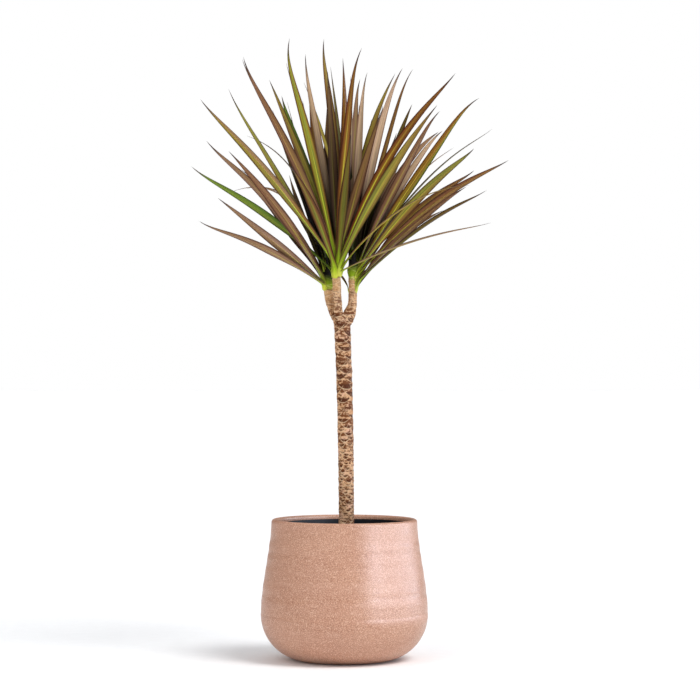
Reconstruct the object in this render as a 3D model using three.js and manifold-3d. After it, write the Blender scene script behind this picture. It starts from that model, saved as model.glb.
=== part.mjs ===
// Potted dracaena marginata: a bare cane that forks into three branches, each with a head of sword-shaped
// leaves, growing in compost in a plastic grow pot that stands inside a stoneware planter.
//
// Millimetres, +Z up. The origin is the middle of the planter's foot, on the surface that it stands on.
// -Y faces the viewer.

import * as THREE from "three";
import { mergeVertices } from "three/addons/utils/BufferGeometryUtils.js";
import Module from "manifold-3d";

const wasm = await Module();
wasm.setup();

// ---- Driving dimensions ------------------------------------------------------------------------------

const GAP = 0.4; // between pieces that touch

const PLANTER = {
  height: 249,
  footRadius: 68,
  bellyRadius: 148,
  bellyHeight: 82,
  rimRadius: 129,
  wall: 10.6,
  floorRadius: 95,
  floorHeight: 14,
  bulge: 0.3, // how far up from the belly to the rim the flank still heads straight up
  waist: 0.65, // and from where it heads straight for the rim
  flare: 2.5, // how much wider than the rim it aims there
  sides: 40,
};

const GROW_POT = {
  offCentre: 3.5, // it stands a little to the right in the planter, and the cane in its middle
  height: 227.4,
  footRadius: 86,
  neckRadius: 106,
  rimRadius: 113,
  rimDepth: 15,
  wall: 2.4,
  floor: 3,
  footBevel: 4,
  rimBevel: 1.2,
  sides: 24,
  drainHoles: 6,
  drainRadius: 6,
  drainCircle: 58,
  drainSides: 8,
};

const SOIL = {
  belowRim: 27,
  edge: 3, // how far the compost falls away all round its top
  lump: 2.2,
  lumpWidth: 6,
  footBevel: 5,
  rings: 6,
  sides: 24,
  holeClearance: 1,
  holeShare: 0.35, // how far up the cane the hole is cut, past the top of the compost
};

const CANE = {
  foot: new THREE.Vector3(3.5, 0, 132),
  belly: new THREE.Vector3(5, 0, 430),
  top: new THREE.Vector3(-5, 0, 614),
  footRadius: 13.1,
  topRadius: 14.6,
  collar: 2.6, // how far the cane swells below the fork
  collarHeight: 22,
  sides: 14,
  crown: 0.45, // the share of its radius with which it ends inside the fork
  ringStep: 6,
  ridge: 0.5,
};

const BRANCH = { neck: 22, slimBy: 0.9, sides: 12, steps: 10 };

const HEAD = { coreTopRadius: 2.6, coreSides: 8, coreSteps: 3 };

const LEAF = {
  width: 16.5,
  widthSpread: 0.12,
  narrowest: 0.6, // the share of that width in a leaf that shows only its edge
  thickness: 1.4,
  tipThickness: 0.7,
  channel: 1.2,
  rootShare: 0.56,
  widestAt: 0.45,
  fullLength: 120, // a leaf shorter than this is narrower in step
  taper: 1.4,
  hookedAt: 6 / 7, // where along a leaf its tip hooks aside most
  twistedBy: 0.45,
  steps: 9,
};

const GOLDEN_TURN = Math.PI * (3 - Math.sqrt(5)); // between one leaf or leaf scar and the next
const UP = new THREE.Vector3(0, 0, 1);
const AWAY = new THREE.Vector3(0, 1, 0); // from the viewer

// ---- Where the branches and leaves are ---------------------------------------------------------------

// Each branch bends at `elbow` and ends at `base`, where its head of leaves begins. The head's core slims
// from the height `green` to its end at `top`. `outward` is the way the head faces, in degrees anticlockwise
// from +X, and its filler leaves spread that far to either side of it.
const HEADS = {
  left: {
    root: new THREE.Vector3(-2, 1, 582),
    rootRadius: 10,
    elbow: new THREE.Vector3(-15, 7, 604),
    base: new THREE.Vector3(-28.5, 10, 655),
    top: new THREE.Vector3(-32, 14, 712),
    green: 659,
    radius: 7.8,
    outward: 104,
    spread: 46,
    fillers: 16,
  },
  front: {
    root: new THREE.Vector3(-5, -1, 584),
    rootRadius: 8.2,
    elbow: new THREE.Vector3(-12, -13, 606),
    base: new THREE.Vector3(-13.5, -15, 677),
    top: new THREE.Vector3(-11, -19, 742),
    green: 680,
    radius: 7.4,
    outward: -74,
    spread: 36,
    fillers: 4,
  },
  right: {
    root: new THREE.Vector3(-3, 1, 586),
    rootRadius: 10.5,
    elbow: new THREE.Vector3(13, 6, 606),
    base: new THREE.Vector3(15, 7, 650),
    top: new THREE.Vector3(17, 10, 726),
    green: 678,
    radius: 7.6,
    outward: 82,
    spread: 37,
    fillers: 19,
  },
};

// The leaves that show from the front, one to a row: where the tip and then the middle of the rib are seen
// from EYE, as millimetres right of the planter's middle and above the floor; how far the tip stands behind
// that middle (minus is nearer the viewer); how high above the head's base the leaf grows; how far its blade
// turns its face to the viewer, from 0 to 1; and how far its tip hooks aside, to the left if it points up.
const SEEN_LEAVES = {
  left: [
    [-256, 776, -142, 729, -170, 5, 0.55, 4],
    [-223, 817, -126, 741, -150, 8, 0.85, 0],
    [-243, 918, -130, 808, -135, 12, 0.7, 4],
    [-204, 900, -114, 794, -125, 16, 0.9, 0],
    [-204, 1010, -105, 838, 60, 34, 0.5, 4],
    [-180, 1063, -90, 887, 90, 40, 0.6, 6],
    [-97, 858, -73, 783, 190, 26, 0.4, 0],
    [-199, 828, -100, 814, 180, 28, 0, 0],
    [-172, 834, -89, 808, 210, 30, 0, 0],
    [-172, 927, -79, 849, 150, 36, 0, 0],
  ],
  front: [
    [-270, 873, -142, 790, 115, 6, 0.7, 4],
    [-254, 992, -135, 861, -165, 22, 1, 3],
    [-178, 1067, -96, 902, -100, 40, 0.75, 5],
    [-132, 1026, -80, 899, -70, 44, 0.6, 0],
    [-110, 998, -72, 884, -50, 46, 0.8, 1],
    [-96, 1100, -59, 914, -150, 30, 0.95, 9],
    [-102, 1056, -61, 902, -50, 48, 0.3, 0],
    [-68, 1072, -42, 902, -60, 50, 0.7, 3],
    [-36, 1099, -18, 920, -115, 44, 0.9, 5],
    [-3, 1065, 0, 899, -165, 46, 0.7, 0],
    [31, 1083, 2, 902, -200, 28, 1, 5],
    [10, 1033, 8, 898, -60, 54, 0.4, 0],
    [196, 1038, 83, 898, -190, 24, 1, -3],
    [164, 982, 72, 851, -240, 16, 1, 0],
    [220, 839, 98, 796, -230, 9, 0, 1],
    [258, 773, 119, 740, -230, 7, 0.15, -2],
  ],
  right: [
    [229, 866, 123, 790, -40, 6, 0.8, -4],
    [251, 831, 141, 769, -100, 12, 0.35, -3],
    [215, 837, 121, 768, -60, 16, 0.6, 0],
    [290, 884, 155, 806, -110, 24, 0.6, -3],
    [229, 905, 132, 820, -150, 30, 1, -3],
    [260, 939, 146, 852, 60, 34, 0.1, -4],
    [192, 906, 113, 838, 150, 42, 0.1, -2],
    [238, 994, 134, 863, -75, 34, 0.95, 6],
    [173, 936, 104, 845, 60, 42, 0.6, 2],
    [166, 934, 93, 852, 120, 46, 0.7, 0],
    [168, 971, 97, 852, -25, 44, 0.8, 3],
    [119, 983, 79, 879, 120, 48, 0.5, 0],
    [120, 1045, 68, 891, 20, 46, 0.45, 4],
    [102, 1047, 52, 898, 55, 50, 0.9, 2],
    [90, 1038, 35, 888, 95, 54, 0.6, 0],
    [40, 1040, 24, 893, 40, 58, 0.6, 2],
    [28, 1028, 18, 898, 85, 62, 0.7, 2],
    [-24, 1049, -6, 902, 105, 66, 0.3, 0],
    [-71, 1022, -26, 888, 90, 60, 0.3, 0],
    [-15, 692, -2, 677, 6, 6, 0.3, 0],
  ],
};

const EYE = { right: 10, up: 548, distance: 4550 };
const MIDDLE_DEPTH = 0.45; // how far back the middle of a rib is, as a share of the way from root to tip

// The leaves that the others hide follow a rule: from the lowest and oldest to the youngest they stand
// more upright, a golden turn apart.
const FILLER = {
  lowLean: 60,
  topLean: 10,
  lowSeat: 4,
  topSeat: 50,
  leanSpread: 5,
  length: 305,
  lengthSpread: 60,
  leastBow: 7, // how far the middle of a level leaf's rib stands above a straight line
  mostBow: 25,
  twist: 0.6,
  clearance: 1, // from the middle between two heads, tested at these shares of the rib
  tested: [0.3, 0.5, 0.7, 0.85],
  swingsBack: 12, // at most, each to this share of its azimuth
  swungBack: 0.85,
};

const DRAWN = { lean: 3, length: 5, width: 7, bow: 11, twist: 13 }; // each has its own row of draws

// ---- Small tools -------------------------------------------------------------------------------------

const lerp = THREE.MathUtils.lerp;
const radians = THREE.MathUtils.degToRad;

// A number from 0 to 1 that looks random but is always the same for the same two whole numbers.
function draw(index, kind) {
  const wave = Math.sin(index * 12.9898 + kind * 78.233) * 43758.5453;
  return wave - Math.floor(wave);
}

function solidOf(geometry) {
  geometry.deleteAttribute("normal");
  geometry.deleteAttribute("uv");
  const merged = mergeVertices(geometry, 1e-3);
  const corners = [];
  for (let i = 0; i < merged.index.count; i += 3) {
    const [a, b, c] = [0, 1, 2].map((k) => merged.index.getX(i + k));
    if (a !== b && b !== c && c !== a) corners.push(a, b, c);
  }
  const vertProperties = new Float32Array(merged.attributes.position.array);
  const triVerts = new Uint32Array(corners);
  return new wasm.Manifold(new wasm.Mesh({ numProp: 3, vertProperties, triVerts }));
}

function meshOf(name, solid, material) {
  const { vertProperties, triVerts } = solid.getMesh();
  const geometry = new THREE.BufferGeometry();
  geometry.setAttribute("position", new THREE.BufferAttribute(vertProperties, 3));
  geometry.setIndex(new THREE.BufferAttribute(triVerts, 1));
  geometry.computeVertexNormals();
  const mesh = new THREE.Mesh(geometry, material);
  mesh.name = name;
  return mesh;
}

// A solid of revolution about Z, from a profile of (radius, height) points that starts on the axis at the
// bottom, goes up the outside and ends on the axis.
function turned(profile, sides) {
  return solidOf(new THREE.LatheGeometry(profile, sides).rotateX(Math.PI / 2));
}

// A closed solid from a cylinder. place(along, across, over) gives each point's position: along runs from
// 0 to 1, and (across, over) lies on the unit circle, or is (0, 0) in the middle of an end.
function shaped(cylinder, place) {
  const points = cylinder.attributes.position;
  for (let i = 0; i < points.count; i += 1) {
    const point = place(points.getY(i) + 0.5, points.getX(i), points.getZ(i));
    points.setXYZ(i, point.x, point.y, point.z);
  }
  return solidOf(cylinder);
}

function shapedTube(sides, steps, place) {
  return shaped(new THREE.CylinderGeometry(1, 1, 1, sides, steps), place);
}

// A strip has two sides over it and two under it. Every other side is split into triangles along its other
// diagonal, so that a strip's two faces are split alike and stay apart where it twists.
function shapedStrip(steps, place) {
  const sides = 4;
  const strip = new THREE.CylinderGeometry(1, 1, 1, sides, steps);
  const corners = strip.index.array;
  for (let side = 1; side < sides; side += 2) {
    for (let step = 0; step < steps; step += 1) {
      const start = 6 * (side * steps + step);
      const [a, b, d, , c] = corners.slice(start, start + 5);
      corners.set([a, b, c, a, c, d], start);
    }
  }
  return shaped(strip, place);
}

// The directions along, across and over a curve at a point along it. A strip that lies across it is seen
// at its full width from the front, and `over` points away from the viewer.
function frameAt(curve, along) {
  const tangent = curve.getTangent(along);
  const across = tangent.clone().cross(AWAY).normalize();
  return { tangent, across, over: across.clone().cross(tangent) };
}

// The angle that differs from `angle` by whole turns and is nearest to `other`.
function unwound(angle, other) {
  const turn = 2 * Math.PI;
  return angle - turn * Math.round((angle - other) / turn);
}

// ---- Planter -----------------------------------------------------------------------------------------

function planterSolid() {
  const { height, footRadius, bellyRadius, bellyHeight, rimRadius, wall } = PLANTER;
  const { floorRadius, floorHeight, sides } = PLANTER;
  const lip = wall / 2;
  const lipHeight = height - lip;
  const innerBelly = bellyRadius - wall;
  const innerRim = rimRadius - wall;
  const point = (x, y) => new THREE.Vector2(x, y);
  const flank = (belly, rim) =>
    new THREE.CubicBezierCurve(
      point(belly, bellyHeight),
      point(belly, lerp(bellyHeight, height, PLANTER.bulge)),
      point(rim + PLANTER.flare, lerp(bellyHeight, height, PLANTER.waist)),
      point(rim, lipHeight),
    );
  const corner = (inner, outer, low, turn) =>
    new THREE.EllipseCurve(inner, bellyHeight, outer - inner, bellyHeight - low, ...turn);
  const profile = [
    point(0, 0),
    ...corner(footRadius, bellyRadius, 0, [-Math.PI / 2, 0]).getPoints(6),
    ...flank(bellyRadius, rimRadius).getPoints(6).slice(1),
    ...new THREE.EllipseCurve(rimRadius - lip, lipHeight, lip, lip, 0, Math.PI).getPoints(4).slice(1, -1),
    ...flank(innerBelly, innerRim).getPoints(5).reverse(),
    ...corner(floorRadius, innerBelly, floorHeight, [0, -Math.PI / 2, true]).getPoints(4).slice(1),
    point(0, floorHeight),
  ];
  return turned(profile, sides);
}

// ---- Grow pot ----------------------------------------------------------------------------------------

const growPotFoot = PLANTER.floorHeight + GAP;
const growPotRim = growPotFoot + GROW_POT.height;

function growPotSolid() {
  const { footRadius, neckRadius, rimRadius, rimDepth, wall, floor, sides } = GROW_POT;
  const { footBevel, rimBevel, drainRadius, drainCircle, drainSides } = GROW_POT;
  const neck = growPotRim - rimDepth;
  const profile = [
    [0, growPotFoot],
    [footRadius - footBevel, growPotFoot],
    [footRadius, growPotFoot + footBevel],
    [neckRadius, neck],
    [rimRadius - rimBevel, neck],
    [rimRadius, neck + rimBevel],
    [rimRadius, growPotRim - rimBevel],
    [rimRadius - rimBevel, growPotRim],
    [rimRadius - wall, growPotRim],
    [rimRadius - wall, neck + wall],
    [neckRadius - wall, neck + wall],
    [footRadius - wall, growPotFoot + floor + footBevel],
    [footRadius - wall - footBevel, growPotFoot + floor],
    [0, growPotFoot + floor],
  ].map(([radius, height]) => new THREE.Vector2(radius, height));
  let pot = turned(profile, sides);
  for (let i = 0; i < GROW_POT.drainHoles; i += 1) {
    const angle = (i * 2 * Math.PI) / GROW_POT.drainHoles;
    const drill = new THREE.CylinderGeometry(drainRadius, drainRadius, 4 * floor, drainSides)
      .rotateX(Math.PI / 2)
      .translate(drainCircle * Math.cos(angle), drainCircle * Math.sin(angle), growPotFoot);
    pot = pot.subtract(solidOf(drill));
  }
  return pot.translate([GROW_POT.offCentre, 0, 0]);
}

// ---- Compost -----------------------------------------------------------------------------------------

const caneCurve = new THREE.QuadraticBezierCurve3(CANE.foot, CANE.belly, CANE.top);
const soilTop = growPotRim - SOIL.belowRim;

// The compost fills the grow pot to a lumpy top, and the cane stands in a plain hole in it.
function soilSolid() {
  const { footRadius, neckRadius, rimDepth, wall, floor } = GROW_POT;
  const low = growPotFoot + floor + GAP;
  const gap = wall + 2 * GAP;
  const topShare = (soilTop - growPotFoot) / (GROW_POT.height - rimDepth);
  const topRadius = lerp(footRadius, neckRadius, topShare) - gap;
  const { edge, lump, lumpWidth, footBevel, rings } = SOIL;
  const profile = [
    [0, low],
    [footRadius - gap - footBevel, low],
    [footRadius - gap, low + footBevel],
    [topRadius, soilTop - edge],
  ];
  for (let ring = rings; ring >= 0; ring -= 1) {
    profile.push([((topRadius - edge) * ring) / rings, soilTop]);
  }
  const shape = new THREE.LatheGeometry(
    profile.map(([radius, height]) => new THREE.Vector2(radius, height)),
    SOIL.sides,
  ).rotateX(Math.PI / 2);
  const points = shape.attributes.position;
  for (let i = 0; i < points.count; i += 1) {
    if (points.getZ(i) < soilTop - edge / 2) continue;
    const [x, y] = [points.getX(i) / lumpWidth, points.getY(i) / lumpWidth];
    points.setZ(i, soilTop + lump * (Math.sin(x + 1) * Math.cos(y) + 0.6 * Math.sin(x + 1.3 * y)));
  }
  const holeRadius = CANE.footRadius + CANE.ridge + SOIL.holeClearance;
  const hole = shapedTube(CANE.sides, 4, (along, across, over) => {
    const centre = caneCurve.getPoint(SOIL.holeShare * along);
    const drop = along === 0 ? GAP : 0;
    return new THREE.Vector3(centre.x + holeRadius * across, -holeRadius * over, centre.z - drop);
  });
  return solidOf(shape).translate([GROW_POT.offCentre, 0, 0]).subtract(hole);
}

// ---- Cane and branches -------------------------------------------------------------------------------

// The scars of fallen leaves ring the cane. Each ring stands out most on its own side, a golden turn
// round from the last.
function scarRelief(ring, angle) {
  const side = Math.cos(angle - ring * GOLDEN_TURN);
  return CANE.ridge * (ring % 2 ? 0.6 + 0.4 * side : -0.5 - 0.5 * side);
}

// A stem that stands almost upright, with level rings of bark and level ends.
function stemSolid(curve, sides, steps, radiusAt) {
  return shapedTube(sides, steps, (along, across, over) => {
    const centre = curve.getPoint(along);
    const ring = Math.round(along * steps);
    const radius = radiusAt(along, centre.z, ring) + scarRelief(ring, Math.atan2(over, across));
    return new THREE.Vector3(centre.x + radius * across, centre.y - radius * over, centre.z);
  });
}

function caneSolid() {
  const steps = Math.round(caneCurve.getLength() / CANE.ringStep);
  return stemSolid(caneCurve, CANE.sides, steps, (along, height, ring) => {
    const swelling = THREE.MathUtils.smoothstep(height, CANE.top.z - CANE.collarHeight, CANE.top.z);
    const crown = ring === steps ? CANE.crown : 1;
    return crown * (lerp(CANE.footRadius, CANE.topRadius, along) + CANE.collar * swelling);
  });
}

function branchSolid(head) {
  const neck = head.base.clone().setZ(head.base.z - BRANCH.neck);
  const curve = new THREE.CubicBezierCurve3(head.root, head.elbow, neck, head.base);
  return stemSolid(curve, BRANCH.sides, BRANCH.steps, (along) =>
    lerp(head.rootRadius, head.radius, THREE.MathUtils.smoothstep(along, 0, BRANCH.slimBy)),
  );
}

function woodSolid() {
  return Object.values(HEADS).reduce((wood, head) => wood.add(branchSolid(head)), caneSolid());
}

// ---- Leaves ------------------------------------------------------------------------------------------

// A blade's width as a share of its greatest: narrow at the root, widest just past the middle, and drawn
// out to a long point.
function bladeShare(along) {
  const { rootShare, widestAt } = LEAF;
  if (along < widestAt) return lerp(rootShare, 1, THREE.MathUtils.smoothstep(along, 0, widestAt));
  return 1 - ((along - widestAt) / (1 - widestAt)) ** LEAF.taper;
}

// How far a blade is turned about its rib from full face to the viewer when it lies level across with its
// upper face up, in radians.
function levelTurn(curve, along) {
  const { tangent, across, over } = frameAt(curve, along);
  const level = tangent.clone().cross(UP);
  return Math.atan2(level.dot(over), level.dot(across));
}

// The turn at which a blade shows the viewer this share of its nearer face: 1 is the full face and 0 is
// only the edge. It twists the shorter way from where it would lie level.
function turnToShow(curve, share) {
  const level = levelTurn(curve, LEAF.widestAt);
  const facing = Math.PI * Math.round(level / Math.PI);
  return facing + Math.sign(level - facing) * (1 - share) * (Math.PI / 2);
}

// A leaf's rib runs from its root in the head's core, through its middle, to its tip, and hooks aside
// before the tip.
class Rib extends THREE.QuadraticBezierCurve3 {
  constructor(root, middle, tip, hook = 0) {
    const ends = root.clone().add(tip).multiplyScalar(0.5);
    super(root, middle.clone().multiplyScalar(2).sub(ends), tip);
    this.aside = tip.clone().sub(root).cross(AWAY).normalize().multiplyScalar(hook);
  }

  getPoint(along, target = new THREE.Vector3()) {
    const { hookedAt } = LEAF;
    const rise = (along / hookedAt) ** (hookedAt / (1 - hookedAt));
    const share = (rise * (1 - along)) / (1 - hookedAt);
    return super.getPoint(along, target).addScaledVector(this.aside, share);
  }
}

function rootOn(head, seat) {
  return new THREE.Vector3().lerpVectors(head.base, head.top, seat / (head.top.z - head.base.z));
}

// A blade grows level across from its root, and has twisted to its own turn before it is widest.
function leafSolid({ curve, turn, width }) {
  const rootTurn = unwound(levelTurn(curve, 0), turn);
  return shapedStrip(LEAF.steps, (along, across, over) => {
    const frame = frameAt(curve, along);
    const angle = lerp(rootTurn, turn, THREE.MathUtils.smoothstep(along, 0, LEAF.twistedBy));
    const side = frame.across
      .clone()
      .multiplyScalar(Math.cos(angle))
      .addScaledVector(frame.over, Math.sin(angle));
    const face = side.clone().cross(frame.tangent);
    const tipward = along === 1 ? 0 : 1;
    const halfWidth = (width / 2) * bladeShare(along) * tipward;
    const halfThickness = (lerp(LEAF.thickness, LEAF.tipThickness, along) / 2) * tipward;
    const channel = LEAF.channel * bladeShare(along) * (Math.abs(across) - 0.5) * tipward;
    return curve
      .getPoint(along)
      .addScaledVector(side, halfWidth * across)
      .addScaledVector(face, halfThickness * over + channel);
  });
}

function drawnWidth(i) {
  return LEAF.width * (1 + LEAF.widthSpread * (draw(i, DRAWN.width) - 0.5));
}

// The point that is seen from EYE at `right` and `up`, and stands `behind` the planter's middle.
function seenPoint(right, up, behind) {
  const nearer = 1 + behind / EYE.distance;
  return new THREE.Vector3(
    EYE.right + (right - EYE.right) * nearer,
    behind,
    EYE.up + (up - EYE.up) * nearer,
  );
}

function seenLeaves(name) {
  const head = HEADS[name];
  return SEEN_LEAVES[name].map(([tipRight, tipUp, right, up, behind, seat, shown, hook], i) => {
    const root = rootOn(head, seat);
    const middle = seenPoint(right, up, lerp(root.y, behind, MIDDLE_DEPTH));
    const curve = new Rib(root, middle, seenPoint(tipRight, tipUp, behind), hook);
    const fullness = lerp(LEAF.narrowest, 1, Math.min(1, 2 * shown));
    const growth = Math.min(1, curve.getLength() / LEAF.fullLength);
    return { curve, turn: turnToShow(curve, shown), width: growth * fullness * drawnWidth(i) };
  });
}

// How far a point is, in plan, from the plane midway between its own head and the nearest other one.
function clearOfOtherHeads(point, head) {
  return Math.min(
    ...Object.values(HEADS)
      .filter((other) => other !== head)
      .map((other) => {
        const apart = new THREE.Vector2(head.base.x - other.base.x, head.base.y - other.base.y);
        const middle = new THREE.Vector2(head.base.x + other.base.x, head.base.y + other.base.y);
        const offset = new THREE.Vector2(point.x, point.y).addScaledVector(middle, -0.5);
        return offset.dot(apart.normalize());
      }),
  );
}

function fillerLeaf(head, i) {
  const age = (i + 0.5) / head.fillers;
  const leanDegrees =
    lerp(FILLER.lowLean, FILLER.topLean, age) + FILLER.leanSpread * (draw(i, DRAWN.lean) - 0.5);
  const lean = radians(leanDegrees);
  const length = FILLER.length + FILLER.lengthSpread * (draw(i, DRAWN.length) - 0.5);
  const root = rootOn(head, lerp(FILLER.lowSeat, FILLER.topSeat, age));
  const width = drawnWidth(i);
  const bow = Math.sin(lean) * lerp(FILLER.leastBow, FILLER.mostBow, draw(i, DRAWN.bow));
  const turns = (i * GOLDEN_TURN) / (2 * Math.PI);
  let azimuth = head.spread * (2 * (turns - Math.floor(turns)) - 1);
  let curve;
  // A leaf that would reach in among the next head's leaves swings back towards its own head's side.
  for (let swings = 0; swings < FILLER.swingsBack; swings += 1) {
    const bearing = radians(head.outward + azimuth);
    const along = new THREE.Vector3(
      Math.sin(lean) * Math.cos(bearing),
      Math.sin(lean) * Math.sin(bearing),
      Math.cos(lean),
    );
    const middle = root.clone().addScaledVector(along, length / 2).addScaledVector(UP, bow);
    curve = new Rib(root, middle, root.clone().addScaledVector(along, length));
    const reach = FILLER.tested.map(
      (share) => clearOfOtherHeads(curve.getPoint(share), head) - (width / 2) * bladeShare(share),
    );
    if (Math.min(...reach) > FILLER.clearance) break;
    azimuth *= FILLER.swungBack;
  }
  const turn = levelTurn(curve, LEAF.widestAt) + FILLER.twist * (2 * draw(i, DRAWN.twist) - 1);
  return { curve, turn, width };
}

function coreSolid(head) {
  return shapedTube(HEAD.coreSides, HEAD.coreSteps, (along, across, over) => {
    const centre = new THREE.Vector3().lerpVectors(head.base, head.top, along);
    const slimness = THREE.MathUtils.smoothstep(centre.z, head.green, head.top.z);
    const radius = lerp(head.radius, HEAD.coreTopRadius, slimness);
    const lift = along === 0 ? GAP : 0;
    return new THREE.Vector3(centre.x + radius * across, centre.y - radius * over, centre.z + lift);
  });
}

function headSolid(name) {
  const head = HEADS[name];
  const fillers = Array.from({ length: head.fillers }, (_, i) => fillerLeaf(head, i));
  const leaves = [...seenLeaves(name), ...fillers].map(leafSolid);
  // A hollow that the leaves seal between their roots is filled: only the outermost shell is kept.
  const shells = wasm.Manifold.union([coreSolid(head), ...leaves]).decompose();
  return shells.sort((a, b) => b.volume() - a.volume())[0];
}

// ---- The whole plant ---------------------------------------------------------------------------------

const material = (color, roughness) => new THREE.MeshStandardMaterial({ color, roughness, metalness: 0 });
const glaze = material(0xd3a590, 0.45);
const plastic = material(0x17191e, 0.4);
const compost = material(0x33261c, 0.95);
const bark = material(0xa88468, 0.85);
const foliage = material(0x6e5a3a, 0.5);

const plant = new THREE.Group();
plant.add(
  meshOf("planter", planterSolid(), glaze),
  meshOf("grow_pot", growPotSolid(), plastic),
  meshOf("soil", soilSolid(), compost),
  meshOf("cane", woodSolid(), bark),
  meshOf("head_left", headSolid("left"), foliage),
  meshOf("head_front", headSolid("front"), foliage),
  meshOf("head_right", headSolid("right"), foliage),
);

export default plant;
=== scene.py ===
import math

import bpy
import numpy as np
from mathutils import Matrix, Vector, noise


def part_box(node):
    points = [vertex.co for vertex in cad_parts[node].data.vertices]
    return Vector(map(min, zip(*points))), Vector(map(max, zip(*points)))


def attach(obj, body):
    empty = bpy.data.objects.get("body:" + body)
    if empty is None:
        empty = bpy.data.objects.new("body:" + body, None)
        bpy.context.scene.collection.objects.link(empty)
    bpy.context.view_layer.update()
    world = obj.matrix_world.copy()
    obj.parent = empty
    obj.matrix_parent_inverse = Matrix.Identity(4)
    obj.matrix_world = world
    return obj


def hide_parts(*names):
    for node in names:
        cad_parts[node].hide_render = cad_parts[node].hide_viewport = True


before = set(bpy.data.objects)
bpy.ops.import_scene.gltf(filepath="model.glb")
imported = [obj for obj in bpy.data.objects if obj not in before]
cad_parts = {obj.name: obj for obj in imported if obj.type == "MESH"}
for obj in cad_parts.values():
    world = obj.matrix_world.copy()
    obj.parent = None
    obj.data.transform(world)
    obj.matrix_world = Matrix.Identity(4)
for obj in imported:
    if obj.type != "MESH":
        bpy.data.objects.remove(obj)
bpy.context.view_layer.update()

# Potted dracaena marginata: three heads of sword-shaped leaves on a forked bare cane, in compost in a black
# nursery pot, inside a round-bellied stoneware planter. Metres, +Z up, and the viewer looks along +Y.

MM = 0.001
GOLDEN_TURN = math.pi * (3 - math.sqrt(5))  # between one leaf, or leaf scar, and the next
UP = np.array([0.0, 0.0, 1.0])
AWAY = np.array([0.0, 1.0, 0.0])  # from the viewer

# ---- Camera ------------------------------------------------------------------------------------------

EYE = {"right": 10, "up": 548, "distance": 4550}  # mm; the photo is taken level
PHOTO_WIDTH = 700 * 1.77 * MM  # 700 pixels, of 1.77 mm each at the planter's middle
FILM_WIDTH = 36

bpy.ops.object.camera_add(
    location=(EYE["right"] * MM, -EYE["distance"] * MM, EYE["up"] * MM), rotation=(math.pi / 2, 0, 0)
)
camera = bpy.context.object
camera.data.sensor_width = FILM_WIDTH
camera.data.lens = FILM_WIDTH * EYE["distance"] * MM / PHOTO_WIDTH
bpy.context.scene.camera = camera
bpy.context.scene.view_settings.view_transform = "Standard"

# ---- Sizes, in millimetres ---------------------------------------------------------------------------

# Two points steer the planter's flank from belly to rim: one straight above the belly, at the share `bulge`
# of the way up, and one outside the rim by `flare`, at the share `waist`.
PLANTER = {
    "height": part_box("planter")[1].z / MM,
    "foot": 68,
    "belly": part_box("planter")[1].x / MM,
    "belly_height": 82,
    "rim": 129,
    "wall": 10.6,
    "floor": 95,
    "floor_height": 14,
    "bulge": 0.3,
    "waist": 0.65,
    "flare": 2.5,
}
PLANTER_STEPS = {"foot": 28, "flank": 96, "lip": 14, "inner_flank": 60, "bowl": 16, "round": 160}

# The rings that the potter's fingers left: broad ones a step apart, which wander, and fine ones between them.
THROWING = {
    "step": 27.0,
    "wander": 1.2,
    "fine": 9,
    "broad_share": 0.75,
    "depth": 0.6,
    "inside": 0.6,  # how deep they are inside, as a share of that
    "begin": (30, 70),  # heights
    "end": (222, 240),
}

NURSERY_POT = {
    "off_centre": 3.5,
    "low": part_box("grow_pot")[0].z / MM,
    "high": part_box("grow_pot")[1].z / MM,
    "foot": 86,
    "neck": 106,
    "rim": 113,
    "rim_depth": 15,
    "wall": 2.4,
    "floor": 3,
    "bevel": 4,
    "edge": 1.2,
}
NURSERY_POT_STEPS = {"foot": 5, "taper": 24, "rim": 4, "inner_rim": 3, "round": 128}

COMPOST = {
    "below_rim": 27,
    "gap": 3.2,  # between it and the nursery pot
    "low": 17.8,
    "low_edge": 5,
    "edge": 3,
    "hole": 14.6,
    "hole_low": 131.6,
    "rings": 46,
    "round": 150,
}
CRUMBS = {
    "height": 2.2,
    "coarse": {"size": 17, "layer": 0, "share": 0.9},
    "fine": {"size": 4.2, "layer": 40, "share": 0.55},
}
BARK_FLAKES = {"count": 420, "sizes": (3, 8), "seed": 5, "bevel": 0.22}
PERLITE = {"count": 90, "sizes": (1.6, 3.4), "seed": 9, "lumps": 0.35, "lumps_across": 3}
STREWN = {
    "from_hole": 4,
    "from_edge": 5,
    "lifted": 0.12,  # how far a chip's middle is above the crumbs, as a share of its size
    "turns": ((-0.5, 0.5), (-0.5, 0.5), (0, 2 * math.pi)),
    "sides": ((0.7, 1.3), (0.5, 1), (0.3, 0.8)),
}

CANE = {
    "foot": (3.5, 0, 132),
    "belly": (5, 0, 430),
    "top": (-5, 0, 614),
    "foot_radius": 13.1,
    "top_radius": 14.6,
    "collar": 2.6,  # how much it swells under the fork
    "collar_height": 22,
    "crown": 0.45,  # how wide its last ring is, as a share, so that its top is rounded
    "rows": 82,
}
BRANCH = {"neck": 22, "slim_by": 0.9, "rows": 26}
CORE = {"top_radius": 2.6, "rows": 60}
SWELL = {"by": 4.0, "above": 15, "half": 13}  # how the clasping leaf bases thicken a head's core

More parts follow.
